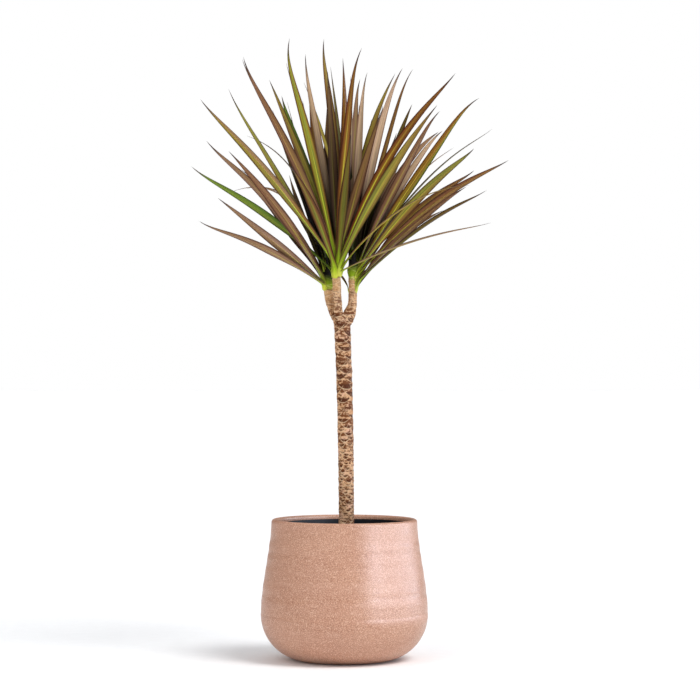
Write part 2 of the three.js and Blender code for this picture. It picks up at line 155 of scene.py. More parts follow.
# Each branch bends at `elbow` and ends at `base`, where its head begins. The head's core is bark up to
# `green`, and from there it is green and slims to its end at `top`. `outward` and `spread`, in degrees, say
# which way the leaves face that the photo doesn't show, and `fillers` how many there are.
HEADS = {
    "left": {
        "root": (-2, 1, 582),
        "root_radius": 10,
        "elbow": (-15, 7, 604),
        "base": (-28.5, 10, 655),
        "top": (-32, 14, 712),
        "green": 659,
        "radius": 7.8,
        "outward": 104,
        "spread": 46,
        "fillers": 16,
    },
    "front": {
        "root": (-5, -1, 584),
        "root_radius": 8.2,
        "elbow": (-12, -13, 606),
        "base": (-13.5, -15, 677),
        "top": (-11, -19, 742),
        "green": 680,
        "radius": 7.4,
        "outward": -74,
        "spread": 36,
        "fillers": 4,
    },
    "right": {
        "root": (-3, 1, 586),
        "root_radius": 10.5,
        "elbow": (13, 6, 606),
        "base": (15, 7, 650),
        "top": (17, 10, 726),
        "green": 678,
        "radius": 7.6,
        "outward": 82,
        "spread": 37,
        "fillers": 19,
    },
}

# Where no unit is given, a number is a share: of the leaf's length, or of its greatest width.
LEAF = {
    "width": 16.5,  # mm
    "width_spread": 0.12,
    "narrowest": 0.6,  # how wide a leaf that is seen edge on is drawn
    "root_share": 0.56,
    "full_length": 120,  # mm; a leaf shorter than this is narrower in step
    "widest_at": 0.45,
    "taper": 1.4,
    "hooked_at": 6 / 7,
    "twisted_by": 0.45,
    "loose_by": 0.14,  # where the blade has come away from the stem and is flat
    "off_stem": 0.4,  # mm
    "least_half": 0.7,  # mm, how narrow half a blade gets before its point
    "point": 0.015,  # the share of its length in which it then ends
    "point_width": 0.05,
    "pattern_step": 3.7,  # how far apart two leaves' patterns are drawn
}
SHEATH = {
    "rows": 0.055,  # the share of the blade's rows that are in the foot, where it clasps the stem
    "reach": (7, 19),  # mm, how far that foot reaches below the root, at least and at most
    "ragged": 9,  # mm by which the feet differ
    "ragged_down": 0.2,
    "width": 0.95,
    "narrowed": (0.62, 0.12),  # how wide it still is, and where
    "over_by": 0.2,
    "end_width": 0.55,
    "rounded": 0.6,  # the part of the foot above its rounded end
    "lift": (-0.5, 0.9),  # mm off the stem, at its end and at the root
}
# How a blade's face turns a little to and fro: by how many radians, and beyond which part of the leaf.
SWAY = {"by": 0.1, "waves": 7, "turn": 6.28, "begins": (0.1, 0.4)}
# Across a blade: its rib is thick and has a keel below, and a shallow channel runs along it.
SECTION = {
    "channel": 2.0,  # mm
    "channel_round": 0.01,
    "channel_level": 0.5,
    "channel_begins": (0.02, 0.2),
    "rib_thickness": 1.1,  # mm
    "edge_thickness": 0.4,  # mm
    "thins": 1.6,
    "tip_thickness": 0.25,
    "keel": 0.35,  # mm
    "keel_half": 0.05,
}
# The deep shade inside the crown. It ends between two distances from the root, in mm, and the underside is
# out of it on a leaf that leans out, from 0 for upright to 1 for level.
SHADE = {
    "seen": (60, 230),
    "filler": (120, 340),
    "underside": (0.24, 0.42),
    "upper": (0.5, 0.8),
    "upper_by": 0.65,
    "begins": (-0.02, 0.03),
}
MIDDLE_DEPTH = 0.45  # how far a seen leaf's middle has come from its root's depth to its tip's

# The leaves that the photo doesn't show, from the lowest to the top one: leans in degrees, twist in radians.
FILLER = {
    "low_lean": 60,
    "top_lean": 10,
    "low_seat": 4,
    "top_seat": 50,
    "lean_spread": 5,
    "length": 305,
    "length_spread": 60,
    "least_bow": 7,
    "most_bow": 25,
    "twist": 0.6,
    "clearance": 1,
    "tested": (0.3, 0.5, 0.7, 0.85),
    "swings_back": 12,
    "swung_back": 0.85,
    "redness": (0.2, 0.95),
    "bloom": 0.4,
    # Fillers are darker than most seen leaves: painted shade, as they stand inside the crown.
    "paleness": (0.05, 0.4),
    "rib_light": 0.4,
}
# Which of the numbers that `draw` gives each measure of a leaf takes.
DRAWN = {
    "lean": 3,
    "length": 5,
    "width": 7,
    "bow": 11,
    "twist": 13,
    "red": 17,
    "pale": 19,
    "bloom": 23,
    "sway": 61,
    "ragged": 67,
}

# The leaves that the photo shows: right and up of the tip and of the middle of the rib, as seen from EYE, how
# far the tip stands behind the planter's middle, how high on the head the leaf grows, how far its face is
# turned to the viewer, how far its tip hooks aside, and its look.
SEEN_LEAVES = {
    "left": [
        (-256, 776, -142, 729, -170, 5, 0.55, 4, "mauve"),
        (-223, 817, -126, 741, -150, 8, 0.85, 0, "mauve"),
        (-243, 918, -130, 808, -135, 12, 0.7, 4, "mauve"),
        (-204, 900, -114, 794, -125, 16, 0.9, 0, "red"),
        (-204, 1010, -105, 838, 60, 34, 0.5, 4, "olive"),
        (-180, 1063, -90, 887, 90, 40, 0.6, 6, "red"),
        (-97, 858, -73, 783, 190, 26, 0.4, 0, "dark"),
        (-199, 828, -100, 814, 180, 28, 0, 0, "mauve"),
        (-172, 834, -89, 808, 210, 30, 0, 0, "brown"),
        (-172, 927, -79, 849, 150, 36, 0, 0, "dark"),
    ],
    "front": [
        (-270, 873, -142, 790, 115, 6, 0.7, 4, "green"),
        (-254, 992, -135, 861, -165, 22, 1, 3, "olive"),
        (-178, 1067, -96, 902, -100, 40, 0.75, 5, "red"),
        (-132, 1026, -80, 899, -70, 44, 0.6, 0, "olive"),
        (-110, 998, -72, 884, -50, 46, 0.8, 1, "green"),
        (-96, 1100, -59, 914, -150, 30, 0.95, 9, "gold"),
        (-102, 1056, -61, 902, -50, 48, 0.3, 0, "mauve"),
        (-68, 1072, -42, 902, -60, 50, 0.7, 3, "pale"),
        (-36, 1099, -18, 920, -115, 44, 0.9, 5, "olive"),
        (-3, 1065, 0, 899, -165, 46, 0.7, 0, "bronze"),
        (31, 1083, 2, 902, -200, 28, 1, 5, "bronze"),
        (10, 1033, 8, 898, -60, 54, 0.4, 0, "mauve"),
        (196, 1038, 83, 898, -190, 24, 1, -3, "bronze"),
        (164, 982, 72, 851, -240, 16, 1, 0, "olive"),
        (220, 839, 98, 796, -230, 9, 0, 1, "olive"),
        (258, 773, 119, 740, -230, 7, 0.15, -2, "mauve"),
    ],
    "right": [
        (229, 866, 123, 790, -40, 6, 0.8, -4, "brown"),
        (251, 831, 141, 769, -100, 12, 0.35, -3, "dark"),
        (215, 837, 121, 768, -60, 16, 0.6, 0, "red"),
        (290, 884, 155, 806, -110, 24, 0.6, -3, "brown"),
        (229, 905, 132, 820, -150, 30, 1, -3, "olive"),
        (260, 939, 146, 852, 60, 34, 0.1, -4, "dark"),
        (192, 906, 113, 838, 150, 42, 0.1, -2, "brown"),
        (238, 994, 134, 863, -75, 34, 0.95, 6, "gold"),
        (173, 936, 104, 845, 60, 42, 0.6, 2, "pale"),
        (166, 934, 93, 852, 120, 46, 0.7, 0, "mauve"),
        (168, 971, 97, 852, -25, 44, 0.8, 3, "red"),
        (119, 983, 79, 879, 120, 48, 0.5, 0, "dark"),
        (120, 1045, 68, 891, 20, 46, 0.45, 4, "brown"),
        (102, 1047, 52, 898, 55, 50, 0.9, 2, "pale"),
        (90, 1038, 35, 888, 95, 54, 0.6, 0, "olive"),
        (40, 1040, 24, 893, 40, 58, 0.6, 2, "pale"),
        (28, 1028, 18, 898, 85, 62, 0.7, 2, "mauve"),
        (-24, 1049, -6, 902, 105, 66, 0.3, 0, "dark"),
        (-71, 1022, -26, 888, 90, 60, 0.3, 0, "olive"),
        (-15, 692, -2, 677, 6, 6, 0.3, 0, "dark"),
    ],
}

# How red a leaf is, how much pale mauve bloom it has, how light it is, and how bright its rib is.
LOOKS = {
    "green": (0.06, 0.08, 0.48, 0.35),
    "olive": (0.44, 0.12, 0.5, 0.45),
    "gold": (0.56, 0.0, 0.55, 0.8),
    "bronze": (0.85, 0.0, 0.5, 1.0),
    "brown": (0.75, 0.15, 0.48, 0.55),
    "red": (1.0, 0.3, 0.52, 0.35),
    "mauve": (0.85, 0.5, 0.52, 0.2),
    "pale": (0.85, 0.9, 0.95, 0.1),
    "dark": (0.6, 0.1, 0.12, 0.25),
}

# ---- Small tools -------------------------------------------------------------------------------------


def lerp(start, end, share):
    return start + (end - start) * share


def smooth(value, start, end):
    share = np.clip((value - start) / (end - start), 0, 1)
    return share * share * (3 - 2 * share)


def unit(vectors):
    return vectors / np.linalg.norm(vectors, axis=-1, keepdims=True)


def dot(first, second):
    return (first * second).sum(axis=-1)


def draw(index, kind):
    """A number from 0 to 1 that looks random but is always the same for the same two whole numbers."""
    wave = math.sin(index * 12.9898 + kind * 78.233) * 43758.5453
    return wave - math.floor(wave)


def bezier(points, shares):
    """Points on the curve that these three or four points steer."""
    points = [np.array(p, float) for p in points]
    while len(points) > 1:
        points = [lerp(a, b, np.reshape(shares, (-1, 1))) for a, b in zip(points, points[1:])]
    return points[0]


def named(name):
    """The object that was just added, under its own name."""
    piece = bpy.context.object
    piece.name = name
    piece.data.name = name
    return piece


def deselect():
    bpy.ops.object.select_all(action="DESELECT")


def read_points(piece):
    points = np.empty(len(piece.data.vertices) * 3)
    piece.data.vertices.foreach_get("co", points)
    return points.reshape(-1, 3)


def write_points(piece, points):
    piece.data.vertices.foreach_set("co", np.ravel(points).astype(np.float32))
    piece.data.update()


def write_attribute(piece, name, values):
    """Keeps one number for each point of the mesh, for a material to read."""
    attribute = piece.data.attributes.get(name) or piece.data.attributes.new(name, "FLOAT", "POINT")
    attribute.data.foreach_set("value", np.ravel(values).astype(np.float32))


def put_places_in_meshes(pieces):
    """Selects these pieces alone, and takes each one's place, turn and size into its mesh."""
    deselect()
    for piece in pieces:
        piece.select_set(True)
    bpy.context.view_layer.objects.active = pieces[0]
    bpy.ops.object.transform_apply(location=True, rotation=True, scale=True)


def joined(name, pieces):
    """Makes one piece of several, under its own name."""
    put_places_in_meshes(pieces)
    bpy.ops.object.join()
    return named(name)


def settle(piece, material, slot, *replaced, angle=40):
    """Finishes a piece: its place goes into its mesh, and it takes its finish and body. Its slot is not used.
    """
    put_places_in_meshes([piece])
    bpy.ops.object.shade_smooth_by_angle(angle=math.radians(angle))
    if material:
        piece.data.materials.clear()
        piece.data.materials.append(material)
    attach(piece, "root")
    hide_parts(*replaced)


def to_linear(colour):
    """The linear values of a colour that is written as sRGB hex."""
    channels = [int(colour[i : i + 2], 16) / 255 for i in (1, 3, 5)]
    return (*[c / 12.92 if c <= 0.04045 else ((c + 0.055) / 1.055) ** 2.4 for c in channels], 1)


FACTOR, FIRST, SECOND = 0, 6, 7  # a Mix node's sockets when it mixes colours
COLOURS = {"data_type": "RGBA", "out": 2}
# A MapRange node takes a value from the range 1 to 2 into the range 3 to 4, and this does so in an S curve.
EASED = {"interpolation_type": "SMOOTHSTEP"}
TIMES = {"operation": "MULTIPLY"}
LESS = {"operation": "SUBTRACT"}
TIMES_PLUS = {"operation": "MULTIPLY_ADD"}


def feed(node, inputs):
    """Links or sets a node's sockets, by their names or numbers."""
    for socket, value in inputs.items():
        if isinstance(value, bpy.types.NodeSocket):
            node.id_data.links.new(value, node.inputs[socket])
        else:
            node.inputs[socket].default_value = to_linear(value) if isinstance(value, str) else value


def add(tree, kind, inputs=None, stops=(), out=0, **settings):
    """Adds a node with its settings, its values and links, and the stops of its ramp, and gives the socket
    that is read from it."""
    made = tree.nodes.new("ShaderNode" + kind)
    for name, value in settings.items():
        setattr(made, name, value)
    feed(made, inputs or {})
    for i, (position, colour) in enumerate(stops):
        element = made.color_ramp.elements[i] if i < 2 else made.color_ramp.elements.new(position)
        element.position = position
        element.color = to_linear(colour)
    return made.outputs[out]


def new_material(name, place="Object"):
    """A material with its tree, its shader and the place of each point, on the object or on its UV map."""
    material = bpy.data.materials.new(name)
    material.use_nodes = True
    tree = material.node_tree
    return material, tree, tree.nodes["Principled BSDF"], add(tree, "TexCoord", out=place)


# ---- Materials ---------------------------------------------------------------------------------------


def glazed_stoneware():
    """Thrown stoneware under a satin glaze: pale and brown specks, which are under 1 mm on the pot and are
    drawn 1.5 mm wide so that they show, faint bands round it from the wheel, 9 mm high, and clouds, nine to
    a metre."""
    material, tree, shader, place = new_material("stoneware_glazed_satin")
    banded = add(tree, "Mapping", {"Vector": place, "Scale": (4, 4, 1 / (9 * MM))})
    band = add(tree, "TexNoise", {"Vector": banded, "Scale": 1, "Detail": 3, "Roughness": 0.6})
    cloud = add(tree, "TexNoise", {"Vector": place, "Scale": 9, "Detail": 3, "Roughness": 0.6})
    speck = add(tree, "TexNoise", {"Vector": place, "Scale": 1 / (1.5 * MM), "Detail": 1, "Roughness": 0.6})
    pale = add(tree, "MapRange", {"Value": speck, 1: 0.5, 2: 0.66, 4: 0.7}, **EASED)
    brown = add(tree, "MapRange", {"Value": speck, 1: 0.48, 2: 0.34, 4: 0.7}, **EASED)
    sheer = add(tree, "MapRange", {"Value": band, 1: 0.35, 2: 0.7, 4: 0.3})
    glaze = add(tree, "ValToRGB", {"Fac": cloud}, [(0.35, "#B07C62"), (0.68, "#BA886D")])
    for share, tone in ((pale, "#E0BEA8"), (brown, "#8A5E48"), (sheer, "#CC9F88")):
        glaze = add(tree, "Mix", {FACTOR: share, FIRST: glaze, SECOND: tone}, **COLOURS)
    roughness = add(tree, "MapRange", {"Value": band, 1: 0.3, 2: 0.7, 3: 0.3, 4: 0.48})
    height = add(tree, "Math", {0: band, 1: 2, 2: speck}, **TIMES_PLUS)
    bump = add(tree, "Bump", {"Height": height, "Strength": 0.15, "Distance": 0.5 * MM})
    feed(shader, {"Base Color": glaze, "Roughness": roughness, "Normal": bump, "IOR": 1.43})
    return material


def moulded_plastic():
    """Black polypropylene, injection moulded: a soft sheen with a fine cloudiness from the mould, three
    clouds to 50 mm."""
    material, tree, shader, place = new_material("polypropylene_moulded_black")
    cloud = add(tree, "TexNoise", {"Vector": place, "Scale": 3 / (50 * MM), "Detail": 4})
    colour = add(tree, "ValToRGB", {"Fac": cloud}, [(0.3, "#0A0D13"), (0.75, "#161A22")])
    roughness = add(tree, "MapRange", {"Value": cloud, 3: 0.45, 4: 0.6})
    feed(shader, {"Base Color": colour, "Roughness": roughness, "IOR": 1.49, "Specular IOR Level": 0.15})
    return material


def moist_compost():
    """Peat and coir compost, milled and moist: dark crumbs with paler fibres, and no gloss."""
    material, tree, shader, place = new_material("peat_and_coir_compost")
    crumb = add(tree, "TexNoise", {"Vector": place, "Scale": 1 / (3 * MM), "Detail": 5, "Roughness": 0.7})
    colour = add(tree, "ValToRGB", {"Fac": crumb}, [(0.3, "#1B130D"), (0.5, "#33251A"), (0.72, "#5A4430")])
    bump = add(tree, "Bump", {"Height": crumb, "Strength": 0.8, "Distance": 1.5 * MM})
    feed(shader, {"Base Color": colour, "Roughness": 0.92, "Normal": bump})
    return material


def composted_bark():
    """Composted pine bark, broken and screened: warm brown flakes."""
    material, tree, shader, place = new_material("pine_bark_screened")
    grain = add(tree, "TexNoise", {"Vector": place, "Scale": 1 / (4 * MM), "Detail": 4})
    colour = add(tree, "ValToRGB", {"Fac": grain}, [(0.3, "#3B2417"), (0.7, "#7C563A")])
    feed(shader, {"Base Color": colour, "Roughness": 0.85})
    return material


def expanded_perlite():
    """Perlite, a volcanic glass puffed up by heat: chalky white grains."""
    material, tree, shader, place = new_material("perlite_expanded")
    grain = add(tree, "TexNoise", {"Vector": place, "Scale": 1 / (1.5 * MM), "Detail": 3})
    colour = add(tree, "ValToRGB", {"Fac": grain}, [(0.3, "#CFC9BD"), (0.7, "#F1EEE6")])
    feed(shader, {"Base Color": colour, "Roughness": 0.9})
    return material


def cane_bark():
    """Dry bark of a dracaena cane: tan cork, more golden where it is young, with pale glints, brown flecks
    and wrinkles across it, and a dark crescent under each leaf scar's thin cream line. The same dark is
    painted into the groove under the fork and the one between two branches, as their shade. Where the shoot
    is still green the same marks are olive and yellow, and deep in a head it is painted dark, as the crown's
    shade."""
    material, tree, shader, place = new_material("dracaena_bark_dry")
    marks = ("scar_patch_and_groove_shade", "scar_line", "shoot", "young", "deep")
    patch, line, shoot, young, deep = (add(tree, "Attribute", out="Fac", attribute_name=m) for m in marks)
    flat = add(tree, "Mapping", {"Vector": place, "Scale": (1, 1, 1.8)})
    flatter = add(tree, "Mapping", {"Vector": place, "Scale": (1, 1, 7)})
    cloud = add(tree, "TexNoise", {"Vector": place, "Scale": 1 / (16 * MM), "Detail": 3, "Roughness": 0.6})
    grain = add(tree, "TexNoise", {"Vector": flat, "Scale": 1 / (2.2 * MM), "Detail": 4, "Roughness": 0.7})
    blotch = add(tree, "TexNoise", {"Vector": flat, "Scale": 1 / (5.5 * MM), "Detail": 2, "Roughness": 0.6})
    crease = add(tree, "TexNoise", {"Vector": flatter, "Scale": 1 / (40 * MM), "Detail": 2, "Roughness": 0.6})
    cork = add(tree, "ValToRGB", {"Fac": cloud}, [(0.32, "#BF8C60"), (0.5, "#CA9E76"), (0.68, "#D2A48A")])
    golden = add(tree, "ValToRGB", {"Fac": cloud}, [(0.32, "#BC8C58"), (0.5, "#CDA272"), (0.68, "#DCBE92")])
    glint = add(tree, "MapRange", {"Value": grain, 1: 0.5, 2: 0.64, 4: 0.8}, **EASED)
    wrinkled = add(tree, "Math", {0: crease, 1: 0.7, 2: blotch}, **TIMES_PLUS)
    fleck = add(tree, "MapRange", {"Value": wrinkled, 1: 0.9, 2: 0.81, 4: 0.95}, **EASED)
    spared = add(tree, "MapRange", {"Value": young, 1: 0.3, 3: 1, 4: 0.15})
    flecked = add(tree, "Math", {0: fleck, 1: spared}, **TIMES)
    bark = add(tree, "Mix", {FACTOR: young, FIRST: cork, SECOND: golden}, **COLOURS)
    # The scar patches also carry the painted shade in the groove under the fork and between two branches.
    for share, tone in ((glint, "#E8C4A0"), (flecked, "#6A3A1C"), (patch, "#502812"), (line, "#EBCBA4")):
        bark = add(tree, "Mix", {FACTOR: share, FIRST: bark, SECOND: tone}, **COLOURS)
    olive = add(tree, "Mix", {FACTOR: patch, FIRST: "#8BA61C", SECOND: "#4A6410"}, **COLOURS)
    green = add(tree, "Mix", {FACTOR: line, FIRST: olive, SECOND: "#DCE078"}, **COLOURS)
    stem = add(tree, "Mix", {FACTOR: shoot, FIRST: bark, SECOND: green}, **COLOURS)
    # Painted shade: deep in a head the core is painted near black.
    colour = add(tree, "Mix", {FACTOR: deep, FIRST: stem, SECOND: "#100C06"}, **COLOURS)
    bump = add(tree, "Bump", {"Height": grain, "Strength": 0.5, "Distance": 0.6 * MM})
    feed(shader, {"Base Color": colour, "Roughness": 0.8, "Normal": bump, "Specular IOR Level": 0.12})
    return material


def dracaena_leaf():
    """A living leaf under a waxy cuticle: veins along the blade, which are 0.5 mm apart and are drawn 2 mm
    apart so that they show, a lime rib that dulls towards the tip, dark red margins and a dry tip."""
    material, tree, shader, spot = new_material("dracaena_leaf_waxy", "UV")
    along, across = (add(tree, "SeparateXYZ", {"Vector": spot}, out=axis) for axis in "XY")
    marks = ("redness", "bloom", "paleness", "rib_light", "leaf_number", "shade")
    look = {mark: add(tree, "Attribute", out="Fac", attribute_name=mark) for mark in marks}

    def streaks(length, width, detail):
        """A pattern with so many streaks along the blade and across it, which differs from leaf to leaf."""
        drawn_out = add(tree, "Mapping", {"Vector": spot, "Scale": (length, width, 1)})
        inputs = {"Vector": drawn_out, "W": look["leaf_number"], "Scale": 1, "Detail": detail}
        return add(tree, "TexNoise", inputs, noise_dimensions="4D")

    # From 0 at the rib to 1 at the edge.
    off_rib = add(tree, "Math", {0: add(tree, "Math", {0: across, 1: 0.5}, **LESS)}, operation="ABSOLUTE")
    aside = add(tree, "Math", {0: off_rib, 1: 2}, **TIMES)
    vein = streaks(3, 9, 2)

    # The flush of red, which comes in patches and is thin along the rib and near the foot.
    uneven = add(tree, "Math", {0: streaks(0.8, 1.6, 1), 1: 0.5}, **LESS)
    contrast = add(tree, "MapRange", {"Value": look["redness"], 2: 0.5, 3: 0.4, 4: 1.4}, **EASED)
    patches = add(tree, "Math", {0: uneven, 1: contrast}, **TIMES)
    near_rib = add(tree, "MapRange", {"Value": aside, 2: 0.65, 3: 0.5, 4: 0}, **EASED)
    near_foot = add(tree, "MapRange", {"Value": along, 1: 0.25, 2: 0.9, 3: 1, 4: 0.3}, **EASED)
    golden = add(tree, "Math", {0: near_rib, 1: near_foot}, **TIMES)
    red = add(tree, "Math", {0: look["redness"], 1: add(tree, "Math", {0: 1, 1: golden}, **LESS)}, **TIMES)
    flush = add(tree, "Math", {0: red, 1: patches}, operation="ADD")
    tones = [(0.05, "#5A7820"), (0.38, "#847424"), (0.64, "#7C561C"), (0.95, "#6A3C18")]
    middle = add(tree, "ValToRGB", {"Fac": flush}, tones)
    margin = add(tree, "ValToRGB", {"Fac": flush}, [(0.1, "#2E4212"), (0.5, "#44240A"), (0.9, "#3A1408")])
    by_vein = add(tree, "Math", {0: vein, 1: 0.5}, **LESS)
    frayed = add(tree, "Math", {0: by_vein, 1: 0.5, 2: aside}, **TIMES_PLUS)
    edge = add(tree, "MapRange", {"Value": frayed, 1: 0.5, 2: 0.95}, **EASED)
    blade = add(tree, "Mix", {FACTOR: edge, FIRST: middle, SECOND: margin}, **COLOURS)

    # The pale mauve bloom, which is thinner on the margins.
    inner = add(tree, "MapRange", {"Value": edge, 3: 1, 4: 0.35}, **EASED)
    bloom = add(tree, "Math", {0: look["bloom"], 1: inner}, **TIMES)
    dust = add(tree, "Mix", {FACTOR: streaks(2, 1.5, 1), FIRST: "#7C6C4C", SECOND: "#9C8274"}, **COLOURS)
    misted = add(tree, "Mix", {FACTOR: bloom, FIRST: blade, SECOND: dust}, **COLOURS)

    # The rib, which narrows and fades towards the tip.
    rib_width = add(tree, "MapRange", {"Value": along, 1: 0.03, 2: 0.5, 3: 0.32, 4: 0.12}, **EASED)
    from_rib = add(tree, "Math", {0: aside, 1: rib_width}, operation="DIVIDE")
    in_rib = add(tree, "MapRange", {"Value": from_rib, 1: 0.35, 3: 1, 4: 0}, **EASED)
    rib_lit = add(tree, "Math", {0: in_rib, 1: look["rib_light"]}, **TIMES)
    rib_fading = add(tree, "MapRange", {"Value": along, 1: 0.35, 2: 0.8, 3: 1, 4: 0.35}, **EASED)
    rib_share = add(tree, "Math", {0: rib_lit, 1: rib_fading}, **TIMES)
    tones = [(0.1, "#AECC20"), (0.28, "#B8BC30"), (0.5, "#AC9430"), (0.8, "#8C6A38")]
    rib = add(tree, "ValToRGB", {"Fac": along}, tones)
    ribbed = add(tree, "Mix", {FACTOR: rib_share, FIRST: misted, SECOND: rib}, **COLOURS)

    # Veins and whole leaves are lighter or darker.
    vein_tone = add(tree, "MapRange", {"Value": vein, 1: 0.25, 2: 0.75, 3: 0.7, 4: 1.3}, **EASED)
    leaf_tone = add(tree, "MapRange", {"Value": look["paleness"], 3: 0.42, 4: 2.1}, **EASED)
    light = add(tree, "Math", {0: vein_tone, 1: leaf_tone}, **TIMES)
    toned = add(tree, "Mix", {FACTOR: 1, FIRST: ribbed, SECOND: light}, blend_type="MULTIPLY", **COLOURS)

    # The pale green foot, the dry tip and the crown's deep shade.
    foot_end = add(tree, "Math", {0: aside, 1: 0.12, 2: along}, **TIMES_PLUS)
    in_foot = add(tree, "MapRange", {"Value": foot_end, 1: 0.07, 2: 0.26, 3: 1, 4: 0}, **EASED)
    lime = add(tree, "ValToRGB", {"Fac": along}, [(0, "#D2D44C"), (0.07, "#A0BE1C"), (0.2, "#6F8C16")])
    foot_tone = add(tree, "MapRange", {"Value": vein, 1: 0.25, 2: 0.75, 3: 0.75, 4: 1.15}, **EASED)
    foot = add(tree, "Mix", {FACTOR: 1, FIRST: lime, SECOND: foot_tone}, blend_type="MULTIPLY", **COLOURS)
    in_tip = add(tree, "MapRange", {"Value": along, 1: 0.86, 2: 0.97}, **EASED)
    in_shade = add(tree, "Math", {0: look["shade"], 1: 0.93}, **TIMES)
    colour = add(tree, "Mix", {FACTOR: in_foot, FIRST: toned, SECOND: foot}, **COLOURS)
    for share, tone in ((in_tip, "#43332C"), (in_shade, "#0C0805")):
        colour = add(tree, "Mix", {FACTOR: share, FIRST: colour, SECOND: tone}, **COLOURS)
    roughness = add(tree, "MapRange", {"Value": vein, 1: 0.2, 2: 0.8, 3: 0.36, 4: 0.5}, **EASED)
    bump = add(tree, "Bump", {"Height": vein, "Strength": 0.3, "Distance": 0.3 * MM})
    feed(shader, {"Base Color": colour, "Roughness": roughness, "Normal": bump})
    feed(shader, {"IOR": 1.42, "Specular IOR Level": 0.12})
    return material


def matt_white_board():
    """Painted board, rolled matt white: a faint mottle, 25 mm across."""
    material, tree, shader, place = new_material("board_painted_matt_white")
    roller = add(tree, "TexNoise", {"Vector": place, "Scale": 1 / (25 * MM), "Detail": 2})
    colour = add(tree, "ValToRGB", {"Fac": roller}, [(0.3, "#FAFAFA"), (0.7, "#FDFDFD")])
    feed(shader, {"Base Color": colour, "Roughness": 0.9})
    return material


# ---- Turned pieces: planter, nursery pot and compost ---------------------------------------------------


def arc(centre, radii, start, end, steps):
    """Points on a quarter or half of an ellipse, its angles in degrees."""
    angles = [math.radians(lerp(start, end, i / steps)) for i in range(steps + 1)]
    return [(centre[0] + radii[0] * math.cos(a), centre[1] + radii[1] * math.sin(a)) for a in angles]


def turned(name, profile, steps):
    """A shell turned about the upright through the origin: a point is drawn along the profile, in mm, and
    the line that it leaves is spun."""
    deselect()
    at = profile[0]
    bpy.ops.mesh.primitive_plane_add(size=MM, location=(at[0] * MM, 0, at[1] * MM))
    piece = named(name)
    bpy.ops.object.mode_set(mode="EDIT")
    bpy.ops.mesh.merge(type="CENTER")
    for point in profile[1:]:
        move = ((point[0] - at[0]) * MM, 0, (point[1] - at[1]) * MM)
        bpy.ops.mesh.extrude_region_move(TRANSFORM_OT_translate={"value": move})
        at = point
    bpy.ops.mesh.select_all(action="SELECT")
    bpy.ops.mesh.spin(steps=steps, angle=2 * math.pi, center=(0, 0, 0), axis=(0, 0, 1))
    bpy.ops.mesh.select_all(action="SELECT")
    bpy.ops.mesh.remove_doubles(threshold=0.01 * MM)
    bpy.ops.mesh.normals_make_consistent(inside=False)
    bpy.ops.object.mode_set(mode="OBJECT")
    bpy.ops.object.transform_apply(location=True, rotation=False, scale=False)
    return piece


def flank(belly, rim, top, steps):
    height = PLANTER["height"]
    low = PLANTER["belly_height"]
    steered = [
        (belly, low),
        (belly, lerp(low, height, PLANTER["bulge"])),
        (rim + PLANTER["flare"], lerp(low, height, PLANTER["waist"])),
        (rim, top),
    ]
    return [tuple(p) for p in bezier(steered, np.linspace(0, 1, steps))]


def thrown(point, share=1.0):
    """Moves a point of the planter's wall in by the potter's throwing rings."""
    radius, height = point
    turns = height / THROWING["step"]
    broad = math.sin(2 * math.pi * turns + THROWING["wander"] * math.sin(turns))
    fine = math.sin(THROWING["fine"] * turns)
    wave = lerp(fine, broad, THROWING["broad_share"])
    fade = float(smooth(height, *THROWING["begin"]) * (1 - smooth(height, *THROWING["end"])))
    return radius - THROWING["depth"] * share * fade * (1 + wave) / 2, height


def make_planter(material):
    height, wall = PLANTER["height"], PLANTER["wall"]
    belly, rim, low = PLANTER["belly"], PLANTER["rim"], PLANTER["belly_height"]
    floor, floor_height = PLANTER["floor"], PLANTER["floor_height"]
    steps = PLANTER_STEPS
    lip = wall / 2
    foot = PLANTER["foot"]
    inner_belly = belly - wall
    outside = arc((foot, low), (belly - foot, low), -90, 0, steps["foot"])
    side = [thrown(p) for p in flank(belly, rim, height - lip, steps["flank"])]
    over = arc((rim - lip, height - lip), (lip, lip), 0, 180, steps["lip"])
    inner_flank = flank(inner_belly, rim - wall, height - lip, steps["inner_flank"])
    inside = [thrown(p, THROWING["inside"]) for p in inner_flank[::-1]]
    bowl = arc((floor, low), (inner_belly - floor, low - floor_height), 0, -90, steps["bowl"])
    bottom = [(floor / 2, floor_height), (0, floor_height)]
    profile = [(0, 0), (foot / 2, 0), *outside, *side[1:], *over[1:-1], *inside, *bowl[1:], *bottom]
    planter = turned("planter_body", profile, steps["round"])
    settle(planter, material, "glazed_stoneware", "planter")


def make_nursery_pot(material):
    pot, steps = NURSERY_POT, NURSERY_POT_STEPS
    low, high, wall, edge, bevel = pot["low"], pot["high"], pot["wall"], pot["edge"], pot["bevel"]
    foot, rim, neck, floor = pot["foot"], pot["rim"], high - pot["rim_depth"], low + pot["floor"]
    shares = [i / steps["taper"] for i in range(steps["taper"] + 1)]
    taper = [(lerp(foot, pot["neck"], share), lerp(low + bevel, neck, share)) for share in shares]
    outer = arc((foot - bevel, low + bevel), (bevel, bevel), -90, 0, steps["foot"])
    over = [
        (rim - edge, neck),
        (rim, neck + edge),
        *arc((rim - edge, high - edge), (edge, edge), 0, 90, steps["rim"]),
        *arc((rim - wall, high - edge / 2), (edge / 2, edge / 2), 90, 180, steps["inner_rim"]),
        (rim - wall - edge / 2, neck + wall),
    ]
    shelf = (taper[-1][0] - wall, taper[-1][1] + wall)
    inner = [(radius - wall, height) for radius, height in taper[-2:0:-1]]
    bottom = [(foot - wall, floor + bevel), (foot - wall - bevel, floor), (0, floor)]
    profile = [(0, low), *outer, *taper[1:], *over, shelf, *inner, *bottom]
    nursery_pot = turned("nursery_pot", profile, steps["round"])
    nursery_pot.location.x = pot["off_centre"] * MM
    settle(nursery_pot, material, "pot_plastic", "grow_pot")


